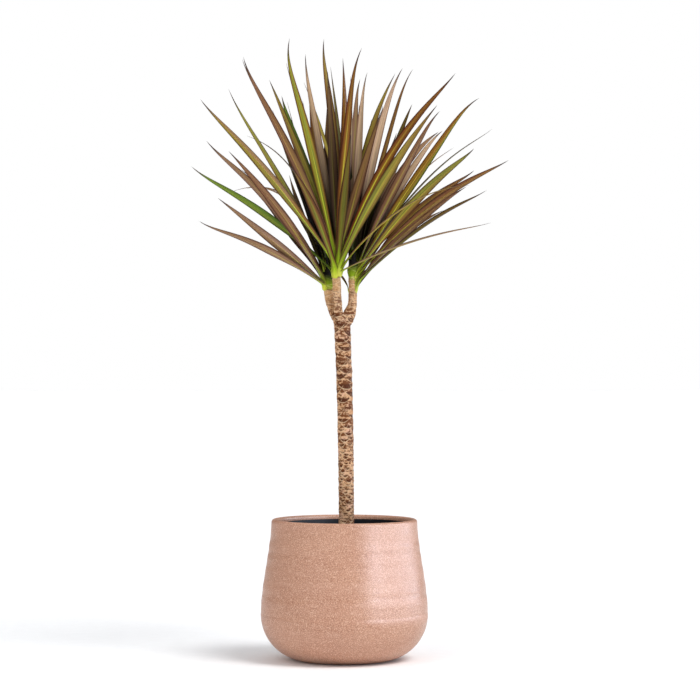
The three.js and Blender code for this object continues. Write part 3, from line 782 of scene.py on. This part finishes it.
def compost_top(x, y):
    """How far the compost's crumbs stand above its level, in mm, at a place in mm."""
    height = 0
    for crumbs in (CRUMBS["coarse"], CRUMBS["fine"]):
        height += crumbs["share"] * noise.noise(Vector((x, y, crumbs["layer"])) / crumbs["size"])
    return CRUMBS["height"] * height


def make_compost(material):
    """Makes the bed with its hole for the cane, and gives its height and how far out chips lie on it."""
    pot, edge, hole = NURSERY_POT, COMPOST["edge"], COMPOST["hole"]
    low, low_edge = COMPOST["low"], COMPOST["low_edge"]
    top = pot["high"] - COMPOST["below_rim"]
    share = (top - pot["low"]) / (pot["high"] - pot["rim_depth"] - pot["low"])
    top_radius = lerp(pot["foot"], pot["neck"], share) - COMPOST["gap"]
    low_radius = pot["foot"] - COMPOST["gap"]
    rings = COMPOST["rings"]
    disc = [(lerp(top_radius - edge, hole, i / rings), top) for i in range(rings + 1)]
    side = [(0, low), (low_radius - low_edge, low), (low_radius, low + low_edge), (top_radius, top - edge)]
    well = [(hole, COMPOST["hole_low"]), (0, COMPOST["hole_low"])]
    bed = turned("compost_bed", [*side, *disc, *well], COMPOST["round"])
    points = read_points(bed) / MM
    for point in points:
        if point[2] > top - edge / 2:
            point[2] += compost_top(point[0], point[1])
    write_points(bed, points * MM)
    bed.location.x = pot["off_centre"] * MM
    settle(bed, material, "compost", "soil", angle=60)
    return top, top_radius - STREWN["from_edge"]


def scatter(name, model, chips, top, reach, material):
    """Strews copies of one small solid over the compost, each with its own size and turn, as one piece."""
    rng = np.random.default_rng(chips["seed"])
    nearest = COMPOST["hole"] + STREWN["from_hole"]
    copies = []
    for _ in range(chips["count"]):
        distance = math.sqrt(rng.uniform(nearest**2, reach**2))
        angle = rng.uniform(0, 2 * math.pi)
        x, y = distance * math.cos(angle), distance * math.sin(angle)
        size = rng.uniform(*chips["sizes"])
        copy = model.copy()
        copy.data = model.data.copy()
        height = top + compost_top(x, y) + size * STREWN["lifted"]
        copy.location = ((x + NURSERY_POT["off_centre"]) * MM, y * MM, height * MM)
        copy.rotation_euler = [rng.uniform(*turn) for turn in STREWN["turns"]]
        copy.scale = [size * rng.uniform(*side) * MM for side in STREWN["sides"]]
        bpy.context.scene.collection.objects.link(copy)
        copies.append(copy)
    bpy.data.objects.remove(model)
    settle(joined(name, copies), material, "compost", angle=50)


def bark_flake():
    """A flake of bark a unit across: a slab with its corners knocked off."""
    deselect()
    bpy.ops.mesh.primitive_cube_add(size=1)
    flake = named("flake")
    bpy.ops.object.mode_set(mode="EDIT")
    bpy.ops.mesh.bevel(offset=BARK_FLAKES["bevel"], segments=1, affect="EDGES")
    bpy.ops.object.mode_set(mode="OBJECT")
    return flake


def perlite_grain():
    """A grain of perlite a unit across: a lumpy ball."""
    deselect()
    bpy.ops.mesh.primitive_ico_sphere_add(subdivisions=2, radius=0.5)
    grain = named("grain")
    points = read_points(grain)
    lumps = [[1 + PERLITE["lumps"] * noise.noise(Vector(p) * PERLITE["lumps_across"])] for p in points]
    write_points(grain, points * lumps)
    return grain


# ---- Wood, in millimetres ----------------------------------------------------------------------------

STEM_SIDES = 40
BARK = {"skin": 0.85, "softened": 0.5, "softenings": 6}  # `skin` is how far apart its finished points are

# The leaf scars of the cane. They are narrower, flatter and closer together at its foot, so each measure has
# two numbers, and it changes from the first to the second between the heights of `grown`.
SCARS = {
    "step": (1.1, 5.3),  # from one scar to the next
    "half_width": (0.4, 1.1),  # radians
    "sag": (4.4, 9.5),  # from a scar's ends down to its middle
    "dark": (1, 1),
}
# Above the fork there are the finer wrinkles of the branches, drawn in the same way.
RINGS = {"step": 4.6, "half_width": 1.3, "sag": 2.2, "dark": 0.5}
SCAR_HEIGHTS = {"grown": (350, 480), "rings": 596}
SCAR_SHAPE = {
    "line": 0.55,
    "line_ends": (1.3, 1.8),  # half widths from the middle
    "patch_begins": (0.1, 0.8),  # above the line
    "patch_ends": (-0.9, 0.3),
    "patch_depth": 0.95,  # as a share of the sag
    "reach": 16,
    "past_ends": 6,
}
# How unlike the scars are: the least of each measure, what is drawn on top of it, and which number draws it.
SCAR_DRAWN = {
    "half_width": (0.85, 0.4, 31),
    "sag": (0.8, 0.4, 37),
    "turn": (0, 0.7, 41),
    "line": (0.55, 0.45, 43),
    "dark": (0.5, 0.7, 47),
    "step": (0.8, 0.4, 53),
}
RELIEF = {"line": 0.45, "patch": 0.5, "lumps": 0.8, "grit": 0.45, "crease": 0.7, "valley": 0.5}
# How the lumps and the grit break up the patches and the lines.
WORN = {"patch": 0.8, "line": 0.9, "line_lumps": 0.8, "line_in_patch": 0.3}
LUMPS = {"size": 9, "seed": 0}
GRIT = {"size": 1.9, "seed": 7}
# The groove under the fork is sunk, and painted dark as the shade in it.
CREASE = {"height": 598, "half": 1.6, "wander": 9, "dark": 0.5}  # the groove under the fork
# The groove between the left branch and the front one, sunk and painted dark as the shade between them:
# from which heights it is there, and left of where.
VALLEY = {"begins": (600, 608), "left_of": (-12, -4), "half": 5.5, "dark": 0.85}
# The web of bark between the front branch and the right one.
CROTCH = {"line": ((1, 3, 600), (5, 4, 612), (11, 6, 626)), "radii": (12, 9, 6.5), "rows": 9}
# The bark looks young from the fork up, and wholly so where the leaves begin.
YOUTH = {"fork": 0.4, "begins": (600, 625), "branches": 620, "near": 16, "under_green": (-45, -4)}
# `deep` is how far above `green` the core turns to painted shade, near black, deep in the crown.
SHOOT = {"uneven": 5, "size": 6, "seed": 3, "begins": (-9, 1), "deep": (1, 24)}  # above `green`


def cane_line():
    """The cane's middle line and its radius, from foot to fork."""
    shares = np.linspace(0, 1, CANE["rows"])
    centres = bezier([CANE["foot"], CANE["belly"], CANE["top"]], shares)
    top = CANE["top"][2]
    swelling = smooth(centres[:, 2], top - CANE["collar_height"], top)
    radii = lerp(CANE["foot_radius"], CANE["top_radius"], shares) + CANE["collar"] * swelling
    radii[-1] *= CANE["crown"]
    return centres, radii


def branch_line(head):
    base = np.array(head["base"], float)
    shares = np.linspace(0, 1, BRANCH["rows"])
    centres = bezier([head["root"], head["elbow"], base - BRANCH["neck"] * UP, base], shares)
    return centres, lerp(head["root_radius"], head["radius"], smooth(shares, 0, BRANCH["slim_by"]))


def crotch_line():
    shares = np.linspace(0, 1, CROTCH["rows"])
    return bezier(CROTCH["line"], shares), np.interp(shares, (0, 0.5, 1), CROTCH["radii"])


def core_line(head):
    centres = bezier([head["base"], head["top"]], np.linspace(0, 1, CORE["rows"]))
    return centres, core_radius(head, centres[:, 2])


def grow_stem(name, centres, radii):
    """A closed round stem: a disc is drawn up ring by ring through its centres."""
    deselect()
    bpy.ops.mesh.primitive_circle_add(
        vertices=STEM_SIDES, radius=radii[0] * MM, fill_type="NGON", location=centres[0] * MM
    )
    stem = named(name)
    bpy.ops.object.mode_set(mode="EDIT")
    bpy.ops.mesh.select_all(action="SELECT")
    for low, high, narrow, wide in zip(centres, centres[1:], radii, radii[1:]):
        bpy.ops.mesh.extrude_region_move(TRANSFORM_OT_translate={"value": (high - low) * MM})
        growth = wide / narrow
        bpy.ops.transform.resize(value=(growth, growth, 1), center_override=high * MM)
    bpy.ops.mesh.select_all(action="SELECT")
    bpy.ops.mesh.normals_make_consistent(inside=False)
    bpy.ops.object.mode_set(mode="OBJECT")
    bpy.ops.object.transform_apply(location=True, rotation=False, scale=False)
    return stem


def from_skin(points, centres, radii):
    """How far points are from a stem's skin, and which way round it they are."""
    heights = points[:, 2]
    middle = np.stack([np.interp(heights, centres[:, 2], centres[:, k]) for k in (0, 1)], 1)
    apart = points[:, :2] - middle
    beyond = np.maximum(0, np.maximum(centres[0, 2] - heights, heights - centres[-1, 2]))
    off_skin = np.abs(np.linalg.norm(apart, axis=1) - np.interp(heights, centres[:, 2], radii))
    return off_skin + 2 * beyond, np.arctan2(apart[:, 1], apart[:, 0])


def in_valley(points, distances):
    """How deep each point is in the groove between two branches, from its distances to all the stems."""
    if len(distances) == 1:
        return np.zeros(len(points))
    begun = smooth(points[:, 2], *VALLEY["begins"]) * (1 - smooth(points[:, 0], *VALLEY["left_of"]))
    return np.exp(-((np.sort(distances, axis=0)[1] / VALLEY["half"]) ** 2)) * begun


def scar_at(height):
    """The measures of the scars or rings at a height."""
    if height > SCAR_HEIGHTS["rings"]:
        return RINGS
    grown = float(smooth(height, *SCAR_HEIGHTS["grown"]))
    return {measure: lerp(*ends, grown) for measure, ends in SCARS.items()}


def drawn_for(scar, stem, measure):
    least, more, kind = SCAR_DRAWN[measure]
    return least + more * draw(scar, kind + stem)


def scar_marks(points, lines):
    """For points on the bark: how much each is in a cream scar line, a dark patch and a valley."""
    heights = points[:, 2]
    distances, angles = zip(*[from_skin(points, *stem) for stem in lines])
    nearest = np.argmin(distances, axis=0)
    line, patch = np.zeros(len(points)), np.zeros(len(points))
    for stem, (centres, _) in enumerate(lines):
        height, number = centres[-1, 2] + SCAR_SHAPE["past_ends"], 0
        while height > centres[0, 2] - SCAR_SHAPE["past_ends"]:
            scar = scar_at(height)
            half_width = scar["half_width"] * drawn_for(number, stem, "half_width")
            sag = scar["sag"] * drawn_for(number, stem, "sag")
            facing = number * GOLDEN_TURN + drawn_for(number, stem, "turn")
            near = np.nonzero((nearest == stem) & (np.abs(heights - height) < SCAR_SHAPE["reach"]))[0]
            turn = (angles[stem][near] - facing + math.pi) % (2 * math.pi) - math.pi
            aside = turn / half_width
            above = heights[near] - height - sag * aside**2
            within = 1 - smooth(np.abs(aside), *SCAR_SHAPE["line_ends"])
            drawn = np.exp(-((above / SCAR_SHAPE["line"]) ** 2)) * within * drawn_for(number, stem, "line")
            depth = sag * (SCAR_SHAPE["patch_depth"] - aside**2)
            ends = [depth + end for end in SCAR_SHAPE["patch_ends"]]
            filled = smooth(above, *SCAR_SHAPE["patch_begins"]) * (1 - smooth(above, *ends)) * (depth > 0)
            dark = scar["dark"] * drawn_for(number, stem, "dark")
            line[near] = np.maximum(line[near], drawn)
            patch[near] = np.maximum(patch[near], filled * dark)
            height -= scar["step"] * drawn_for(number, stem, "step")
            number += 1
    return np.clip(line, 0, 1), np.clip(patch, 0, 1), in_valley(points, distances)


def rough_noise(points, size, seed):
    return np.array([noise.noise(Vector(p) / size + Vector((seed, seed, seed))) for p in points])


def youth_of(points):
    """How young the bark is: 0 on the cane, and rising up each branch to 1 where its leaves begin."""
    heights = points[:, 2]
    share = YOUTH["fork"] * smooth(heights, *YOUTH["begins"])
    for head in HEADS.values():
        near = np.linalg.norm(points[:, :2] - head["base"][:2], axis=1) < YOUTH["near"]
        rising = smooth(heights, *[head["green"] + end for end in YOUTH["under_green"]])
        share = np.where(near & (heights > YOUTH["branches"]), lerp(YOUTH["fork"], 1, rising), share)
    return share


def shoot_of(points, head):
    """1 where the stem is still green, above an uneven edge."""
    uneven = points[:, 2] + SHOOT["uneven"] * rough_noise(points, SHOOT["size"], SHOOT["seed"])
    return smooth(uneven, *[head["green"] + end for end in SHOOT["begins"]])


def weather(stem, lines):
    """Gives a smooth stem its leaf scars, cracks and lumps, and paints the groove under the fork and the one
    between two branches dark, as painted shade.
    """
    points = read_points(stem) / MM
    normals = np.empty(len(points) * 3)
    stem.data.vertices.foreach_get("normal", normals)
    line, patch, valley = scar_marks(points, lines)
    lumps, grit = (rough_noise(points, kind["size"], kind["seed"]) for kind in (LUMPS, GRIT))
    patch = np.clip(patch * (1 + WORN["patch"] * grit), 0, 1)
    line = line * (WORN["line"] + WORN["line_lumps"] * lumps) * (1 - WORN["line_in_patch"] * patch)
    line = np.clip(line, 0, 1)
    off_crease = points[:, 2] + CREASE["wander"] * lumps - CREASE["height"]
    crease = np.exp(-((off_crease / CREASE["half"]) ** 2))
    # Painted shade: the crease and the valley are darkened along with the scar patches.
    patch = np.maximum(patch, np.maximum(CREASE["dark"] * crease, VALLEY["dark"] * valley))
    raised = RELIEF["line"] * line - RELIEF["patch"] * patch + RELIEF["lumps"] * lumps + RELIEF["grit"] * grit
    raised -= RELIEF["crease"] * crease + RELIEF["valley"] * valley
    write_points(stem, (points + normals.reshape(-1, 3) * raised[:, None]) * MM)
    write_attribute(stem, "scar_line", line)
    write_attribute(stem, "scar_patch_and_groove_shade", patch)
    write_attribute(stem, "young", youth_of(points))


def make_wood(material):
    lines = [cane_line(), *[branch_line(head) for head in HEADS.values()]]
    stems = [grow_stem(f"stem_{i}", *line) for i, line in enumerate([*lines, crotch_line()])]
    wood = joined("cane_and_branches", stems)
    skin = wood.modifiers.new("skin", "REMESH")
    skin.mode = "VOXEL"
    skin.voxel_size = BARK["skin"] * MM
    bpy.ops.object.modifier_apply(modifier=skin.name)
    soften = wood.modifiers.new("soften", "SMOOTH")
    soften.factor = BARK["softened"]
    soften.iterations = BARK["softenings"]
    bpy.ops.object.modifier_apply(modifier=soften.name)
    weather(wood, lines)
    settle(wood, material, "bark", "cane", angle=70)


# ---- Leaves ------------------------------------------------------------------------------------------

BLADE_ROWS = 50
ROWS_CROWD = 1.25  # above 1, a blade's rows lie closer together near its foot
# Across half a blade, from the rib to the edge.
HALF_STRIPS = (0.0, 0.09, 0.24, 0.55, 0.86, 1.0)


def blade_share(along):
    """A blade's width as a share of its greatest."""
    rising = lerp(LEAF["root_share"], 1, smooth(along, 0, LEAF["widest_at"]))
    falling = 1 - np.clip((along - LEAF["widest_at"]) / (1 - LEAF["widest_at"]), 0, 1) ** LEAF["taper"]
    blade = np.where(along < LEAF["widest_at"], rising, falling)
    end = -SHEATH["rows"]
    narrowed, narrowed_by = SHEATH["narrowed"]
    sheath = lerp(SHEATH["width"], narrowed, smooth(along, end, narrowed_by))
    rounded = lerp(SHEATH["end_width"], 1, smooth(along, end, SHEATH["rounded"] * end))
    return np.maximum(blade, np.where(along < SHEATH["over_by"], sheath, 0)) * rounded


def model_blade():
    """One flat blade, closed all round: along it X runs from the end of its sheath to 1 at the tip, Y runs
    from -1 to 1 across it, and Z is 1 on its upper face and -1 on the underside."""
    deselect()
    strips = 2 * (len(HALF_STRIPS) - 1)
    bpy.ops.mesh.primitive_grid_add(x_subdivisions=BLADE_ROWS, y_subdivisions=strips, size=2)
    blade = named("blade")
    foot = -SHEATH["rows"]
    across = [*[-share for share in HALF_STRIPS[:0:-1]], *HALF_STRIPS]
    points = read_points(blade)
    rows = (points[:, 0] + 1) / 2
    points[:, 0] = lerp(foot, 1, rows**ROWS_CROWD)
    points[:, 1] = [across[round((y + 1) / 2 * strips)] for y in points[:, 1]]
    write_points(blade, points)
    solid = blade.modifiers.new("two_faces", "SOLIDIFY")
    solid.thickness = 2
    solid.offset = 0
    bpy.ops.object.modifier_apply(modifier=solid.name)
    uv = blade.data.uv_layers.active or blade.data.uv_layers.new(name="UVMap")
    points = read_points(blade)
    for loop in blade.data.loops:
        x, y, _ = points[loop.vertex_index]
        uv.data[loop.index].uv = ((x - foot) / (1 - foot), (y + 1) / 2)
    return blade


def frame_at(tangents):
    """The directions across and over a blade that shows the viewer its full face."""
    across = unit(np.cross(tangents, AWAY))
    return across, np.cross(across, tangents)


def angle_of(direction, tangents):
    across, over = frame_at(tangents)
    return np.arctan2(dot(direction, over), dot(direction, across))


def level_turn(curve, along):
    """The turn at which a blade lies level across its rib."""
    step = 1e-4
    low, high = bezier(curve, [along - step, along + step])
    tangent = unit(high - low)
    return float(angle_of(np.cross(tangent, UP), tangent))


def turn_to_show(curve, share):
    """The turn that shows the viewer this share of the face, on the side that is nearer to level."""
    level = level_turn(curve, LEAF["widest_at"])
    facing = math.pi * math.floor(level / math.pi + 0.5)
    return facing + math.copysign(1, level - facing) * (1 - share) * math.pi / 2


def drawn_width(i):
    return LEAF["width"] * (1 + LEAF["width_spread"] * (draw(i, DRAWN["width"]) - 0.5))


def root_on(head, seat):
    base, top = np.array(head["base"], float), np.array(head["top"], float)
    return lerp(base, top, seat / (top[2] - base[2]))


def rib_through(root, middle, tip):
    return [root, 2 * middle - (root + tip) / 2, tip]


def seen_point(right, up, behind):
    """The point, in mm, that the viewer sees at this place, this far behind the planter's middle."""
    nearer = 1 + behind / EYE["distance"]
    x = EYE["right"] + (right - EYE["right"]) * nearer
    return np.array([x, behind, EYE["up"] + (up - EYE["up"]) * nearer])


def seen_leaf(head, i, row):
    tip_right, tip_up, right, up, behind, seat, shown, hook, look = row
    root = root_on(head, seat)
    middle = seen_point(right, up, lerp(root[1], behind, MIDDLE_DEPTH))
    curve = rib_through(root, middle, seen_point(tip_right, tip_up, behind))
    length = np.linalg.norm(np.diff(bezier(curve, np.linspace(0, 1, 40)), axis=0), axis=1).sum()
    growth = min(1, length / LEAF["full_length"])
    width = growth * lerp(LEAF["narrowest"], 1, min(1, 2 * shown)) * drawn_width(i)
    return {
        "curve": curve,
        "hook": hook,
        "seat": seat,
        "turn": turn_to_show(curve, shown),
        "width": width,
        "look": LOOKS[look],
        "kind": "seen",
    }


def clear_of_other_heads(point, head):
    """How far a point is, in plan, from the plane midway between its own head and the nearest other one."""
    distances = []
    for other in HEADS.values():
        if other is not head:
            own, far = np.array(head["base"][:2], float), np.array(other["base"][:2], float)
            distances.append(dot(point[:2] - (own + far) / 2, unit(own - far)))
    return min(distances)


def filler_leaf(head, i):
    """A leaf of the side that the photo doesn't show. It swings back until it is clear of the other heads."""
    age = (i + 0.5) / head["fillers"]
    spread = FILLER["lean_spread"] * (draw(i, DRAWN["lean"]) - 0.5)
    lean = math.radians(lerp(FILLER["low_lean"], FILLER["top_lean"], age) + spread)
    flat = math.sin(lean)
    length = FILLER["length"] + FILLER["length_spread"] * (draw(i, DRAWN["length"]) - 0.5)
    seat = lerp(FILLER["low_seat"], FILLER["top_seat"], age)
    root = root_on(head, seat)
    width = drawn_width(i)
    bow = flat * lerp(FILLER["least_bow"], FILLER["most_bow"], draw(i, DRAWN["bow"]))
    turns = i * GOLDEN_TURN / (2 * math.pi)
    azimuth = head["spread"] * (2 * (turns - math.floor(turns)) - 1)
    for _ in range(FILLER["swings_back"]):
        bearing = math.radians(head["outward"] + azimuth)
        along = np.array([flat * math.cos(bearing), flat * math.sin(bearing), math.cos(lean)])
        curve = rib_through(root, root + along * length / 2 + bow * UP, root + along * length)
        reach = [
            clear_of_other_heads(bezier(curve, share)[0], head) - width / 2 * blade_share(share)
            for share in FILLER["tested"]
        ]
        if min(reach) > FILLER["clearance"]:
            break
        azimuth *= FILLER["swung_back"]
    turn = level_turn(curve, LEAF["widest_at"]) + FILLER["twist"] * (2 * draw(i, DRAWN["twist"]) - 1)
    redness, bloom, paleness = (draw(i, DRAWN[kind]) for kind in ("red", "bloom", "pale"))
    return {
        "curve": curve,
        "hook": 0,
        "seat": seat,
        "turn": turn,
        "width": width,
        "look": (
            lerp(*FILLER["redness"], redness),
            FILLER["bloom"] * bloom**2,
            lerp(*FILLER["paleness"], paleness),
            FILLER["rib_light"],
        ),
        "kind": "filler",
    }


def core_radius(head, height):
    swelling = SWELL["by"] * np.exp(-(((height - head["green"] - SWELL["above"]) / SWELL["half"]) ** 2))
    slimmed = smooth(height, head["green"], head["top"][2])
    return lerp(head["radius"], CORE["top_radius"], slimmed) + swelling


def rib_points(leaf, shares):
    """Points along a rib, which hooks aside before its tip."""
    root, _, tip = leaf["curve"]
    at = LEAF["hooked_at"]
    rise = (np.maximum(0, shares) / at) ** (at / (1 - at)) * (1 - shares) / (1 - at)
    aside = unit(np.cross(tip - root, AWAY)) * leaf["hook"]
    return bezier(leaf["curve"], shares) + aside * rise[:, None]


def leaf_path(head, leaf, number, shares):
    """Points along a leaf's middle. Its foot runs up the outside of the stem, and there the rib leaves it."""
    base, top = np.array(head["base"], float), np.array(head["top"], float)
    axis = unit(top - base)
    root = leaf["curve"][0]
    least, most = SHEATH["reach"]
    ragged = SHEATH["ragged"] * (draw(number, DRAWN["ragged"]) - SHEATH["ragged_down"])
    foot = min(most, max(least, root[2] - head["green"] + ragged))
    below = root + axis * shares[:, None] / SHEATH["rows"] * foot
    path = np.where(shares[:, None] < 0, below, rib_points(leaf, shares))
    on_axis = root + axis * ((path[:, 2] - root[2]) / axis[2])[:, None]
    outward = unit((bezier(leaf["curve"], 0.4)[0] - root) * (1, 1, 0))
    out = dot(path - on_axis, outward)
    stem = core_radius(head, root[2])
    lift = lerp(*SHEATH["lift"], smooth(shares, -SHEATH["rows"], 0))
    return path + outward * (np.sqrt(out**2 + stem**2) - out + lift)[:, None], outward, stem


def sides_along(leaf, number, shares, tangents, outward):
    """Which way across the blade is at each row: level where it clasps the stem, then turned to its face."""
    level = np.cross(outward, UP)
    level = unit(level - tangents * dot(tangents, level)[:, None])
    level_angle = angle_of(level, tangents)
    turn = leaf["turn"]
    level_angle -= 2 * math.pi * np.round((level_angle - turn) / (2 * math.pi))
    sway = SWAY["by"] * np.sin(SWAY["waves"] * shares + SWAY["turn"] * draw(number, DRAWN["sway"]))
    angle = lerp(level_angle, turn, smooth(shares, 0, LEAF["twisted_by"]))
    angle += sway * smooth(shares, *SWAY["begins"])
    across, over = frame_at(tangents)
    return across * np.cos(angle)[:, None] + over * np.sin(angle)[:, None]


def mark_blade(piece, points, leaf, number, from_root, lean):
    """Keeps the leaf's look, its number and the crown's shade on each of its points."""
    for name, value in zip(("redness", "bloom", "paleness", "rib_light"), leaf["look"]):
        write_attribute(piece, name, np.full(len(points), value))
    write_attribute(piece, "leaf_number", np.full(len(points), number * LEAF["pattern_step"]))
    upper = 1 - SHADE["upper_by"] * smooth(lean, *SHADE["upper"])
    shelter = np.where(points[:, 2] > 0, upper, 1 - smooth(lean, *SHADE["underside"]))
    shade = shelter * (1 - smooth(from_root, *SHADE[leaf["kind"]]))
    write_attribute(piece, "shade", shade * smooth(points[:, 0], *SHADE["begins"]))


def lay_blade(blade, head, leaf, number):
    """A copy of the blade, laid along its rib."""
    piece = blade.copy()
    piece.data = blade.data.copy()
    bpy.context.scene.collection.objects.link(piece)
    points = read_points(blade)
    shares, row = np.unique(np.round(points[:, 0], 6), return_inverse=True)
    row = row.ravel()
    path, outward, stem = leaf_path(head, leaf, number, shares)
    tangents = unit(np.gradient(path, shares, axis=0))
    side = sides_along(leaf, number, shares, tangents, outward)
    face = np.cross(side, tangents)

    share = blade_share(shares)[row]
    edge = np.abs(points[:, 1])
    to_tip = 1 - points[:, 0]
    half_width = np.maximum(leaf["width"] / 2 * share, LEAF["least_half"])
    aside = points[:, 1] * half_width * np.clip(to_tip / LEAF["point"], LEAF["point_width"], 1)
    clasping = 1 - smooth(shares, -0.01, LEAF["loose_by"])
    curl = clasping[row] / (stem + LEAF["off_stem"]) + 1e-6  # so that a flat row isn't divided by 0
    flat = np.sin(aside * curl) / curl
    thinned = np.minimum(1, edge * SECTION["thins"])
    thickness = lerp(SECTION["rib_thickness"], SECTION["edge_thickness"], thinned) / 2
    thickness *= np.minimum(1, SECTION["tip_thickness"] + SECTION["thins"] * to_tip)
    channel = np.sqrt(edge**2 + SECTION["channel_round"]) - SECTION["channel_level"]
    channel *= SECTION["channel"] * share * smooth(points[:, 0], *SECTION["channel_begins"])
    keel = np.where((points[:, 2] < 0) & (edge < SECTION["keel_half"]), SECTION["keel"], 0) * share
    lift = (1 - np.cos(aside * curl)) / curl + channel + points[:, 2] * thickness - keel
    write_points(piece, (path[row] + side[row] * flat[:, None] + face[row] * lift[:, None]) * MM)

    root = path[np.searchsorted(shares, 0)]
    reach = path[-1] - root
    lean = np.linalg.norm(reach[:2]) / np.linalg.norm(reach)
    mark_blade(piece, points, leaf, number, np.linalg.norm(path - root, axis=1)[row], lean)
    return piece


def make_head(name, blade, leaf_material, bark_material):
    head = HEADS[name]
    leaves = [seen_leaf(head, i, row) for i, row in enumerate(SEEN_LEAVES[name])]
    leaves += [filler_leaf(head, i) for i in range(head["fillers"])]
    pieces = [lay_blade(blade, head, leaf, number) for number, leaf in enumerate(leaves)]
    for piece in pieces:
        piece.data.materials.append(leaf_material)
    line = core_line(head)
    core = grow_stem("core", *line)
    weather(core, [line])
    core_points = read_points(core) / MM
    # Painted shade: the core turns near black from just above its green start, deep in the crown.
    deep_from, deep_to = (head["green"] + above for above in SHOOT["deep"])
    write_attribute(core, "shoot", shoot_of(core_points, head))
    write_attribute(core, "deep", smooth(core_points[:, 2], deep_from, deep_to))
    core.data.materials.append(bark_material)
    settle(joined(f"leaves_{name}", [*pieces, core]), None, "leaf", f"head_{name}", angle=50)


# ---- Studio, in metres and degrees -------------------------------------------------------------------

FLOOR_SIZE = 60
ROOM_COLOUR = "#F4F6FA"
ROOM_LIGHT = 0.56
ROOM_REFLECTED = 0.1  # what glossy finishes see of the room, past its walls' gaps
SUNS = {
    "key": {"turn": (39, 0, 50), "strength": 1.82, "angle": 28},
    "fill": {"turn": (62, 0, -40), "strength": 0.6, "angle": 50},
    "ceiling": {"turn": (0, 0, 0), "strength": 0.34, "angle": 110},
}
PANEL_COLOUR = "#E6EEFF"
PANELS = {
    "broad_panel": {"place": (1.9, -0.5, 0.7), "aim": (0, -0.3, 0.5), "size": (3.8, 1.8), "watts": 165},
    "near_panel": {"place": (1.55, -1.55, 0.7), "aim": (0, 0, 0.2), "size": (0.5, 1.2), "watts": 22},
}


def make_floor():
    deselect()
    bpy.ops.mesh.primitive_plane_add(size=FLOOR_SIZE)
    floor = named("floor")
    floor.data.materials.append(matt_white_board())


def make_world():
    """A white backdrop that the camera sees, and a dimmer, cooler room that lights the plant, of which glossy
    finishes show still less."""
    world = bpy.data.worlds.new("studio")
    world.use_nodes = True
    tree = world.node_tree
    backdrop = tree.nodes["Background"]
    feed(backdrop, {"Color": "#FFFFFF", "Strength": 1})
    room = add(tree, "Background", {"Color": ROOM_COLOUR, "Strength": ROOM_LIGHT})
    mirrored = add(tree, "Background", {"Color": ROOM_COLOUR, "Strength": ROOM_REFLECTED})
    glossy, seen = (add(tree, "LightPath", out=f"Is {ray} Ray") for ray in ("Glossy", "Camera"))
    unseen = add(tree, "MixShader", {0: glossy, 1: room, 2: mirrored})
    both = add(tree, "MixShader", {0: seen, 1: unseen, 2: backdrop.outputs[0]})
    feed(tree.nodes["World Output"], {"Surface": both})
    bpy.context.scene.world = world


def make_lights():
    """A soft key light above to the right, a faint fill from the left, a pale ceiling, and on the right two
    panels that only glossy finishes show."""
    for name, light in SUNS.items():
        bpy.ops.object.light_add(type="SUN", rotation=[math.radians(turn) for turn in light["turn"]])
        sun = named(name)
        sun.data.energy = light["strength"]
        sun.data.angle = math.radians(light["angle"])
    for name, light in PANELS.items():
        bpy.ops.object.light_add(type="AREA", location=light["place"])
        panel = named(name)
        panel.data.shape = "RECTANGLE"
        panel.data.size, panel.data.size_y = light["size"]
        panel.data.energy = light["watts"]
        panel.data.color = to_linear(PANEL_COLOUR)[:3]
        aim = Vector(light["aim"]) - Vector(light["place"])
        panel.rotation_euler = aim.to_track_quat("-Z", "Y").to_euler()
        panel.visible_diffuse = False


# ---- The whole plant ---------------------------------------------------------------------------------

make_floor()
make_world()
make_lights()
make_planter(glazed_stoneware())
make_nursery_pot(moulded_plastic())
compost_height, compost_reach = make_compost(moist_compost())
scatter("bark_flakes", bark_flake(), BARK_FLAKES, compost_height, compost_reach, composted_bark())
scatter("perlite", perlite_grain(), PERLITE, compost_height, compost_reach, expanded_perlite())
bark = cane_bark()
make_wood(bark)
leaf = dracaena_leaf()
blade_model = model_blade()
for head_name in HEADS:
    make_head(head_name, blade_model, leaf, bark)
bpy.data.objects.remove(blade_model)
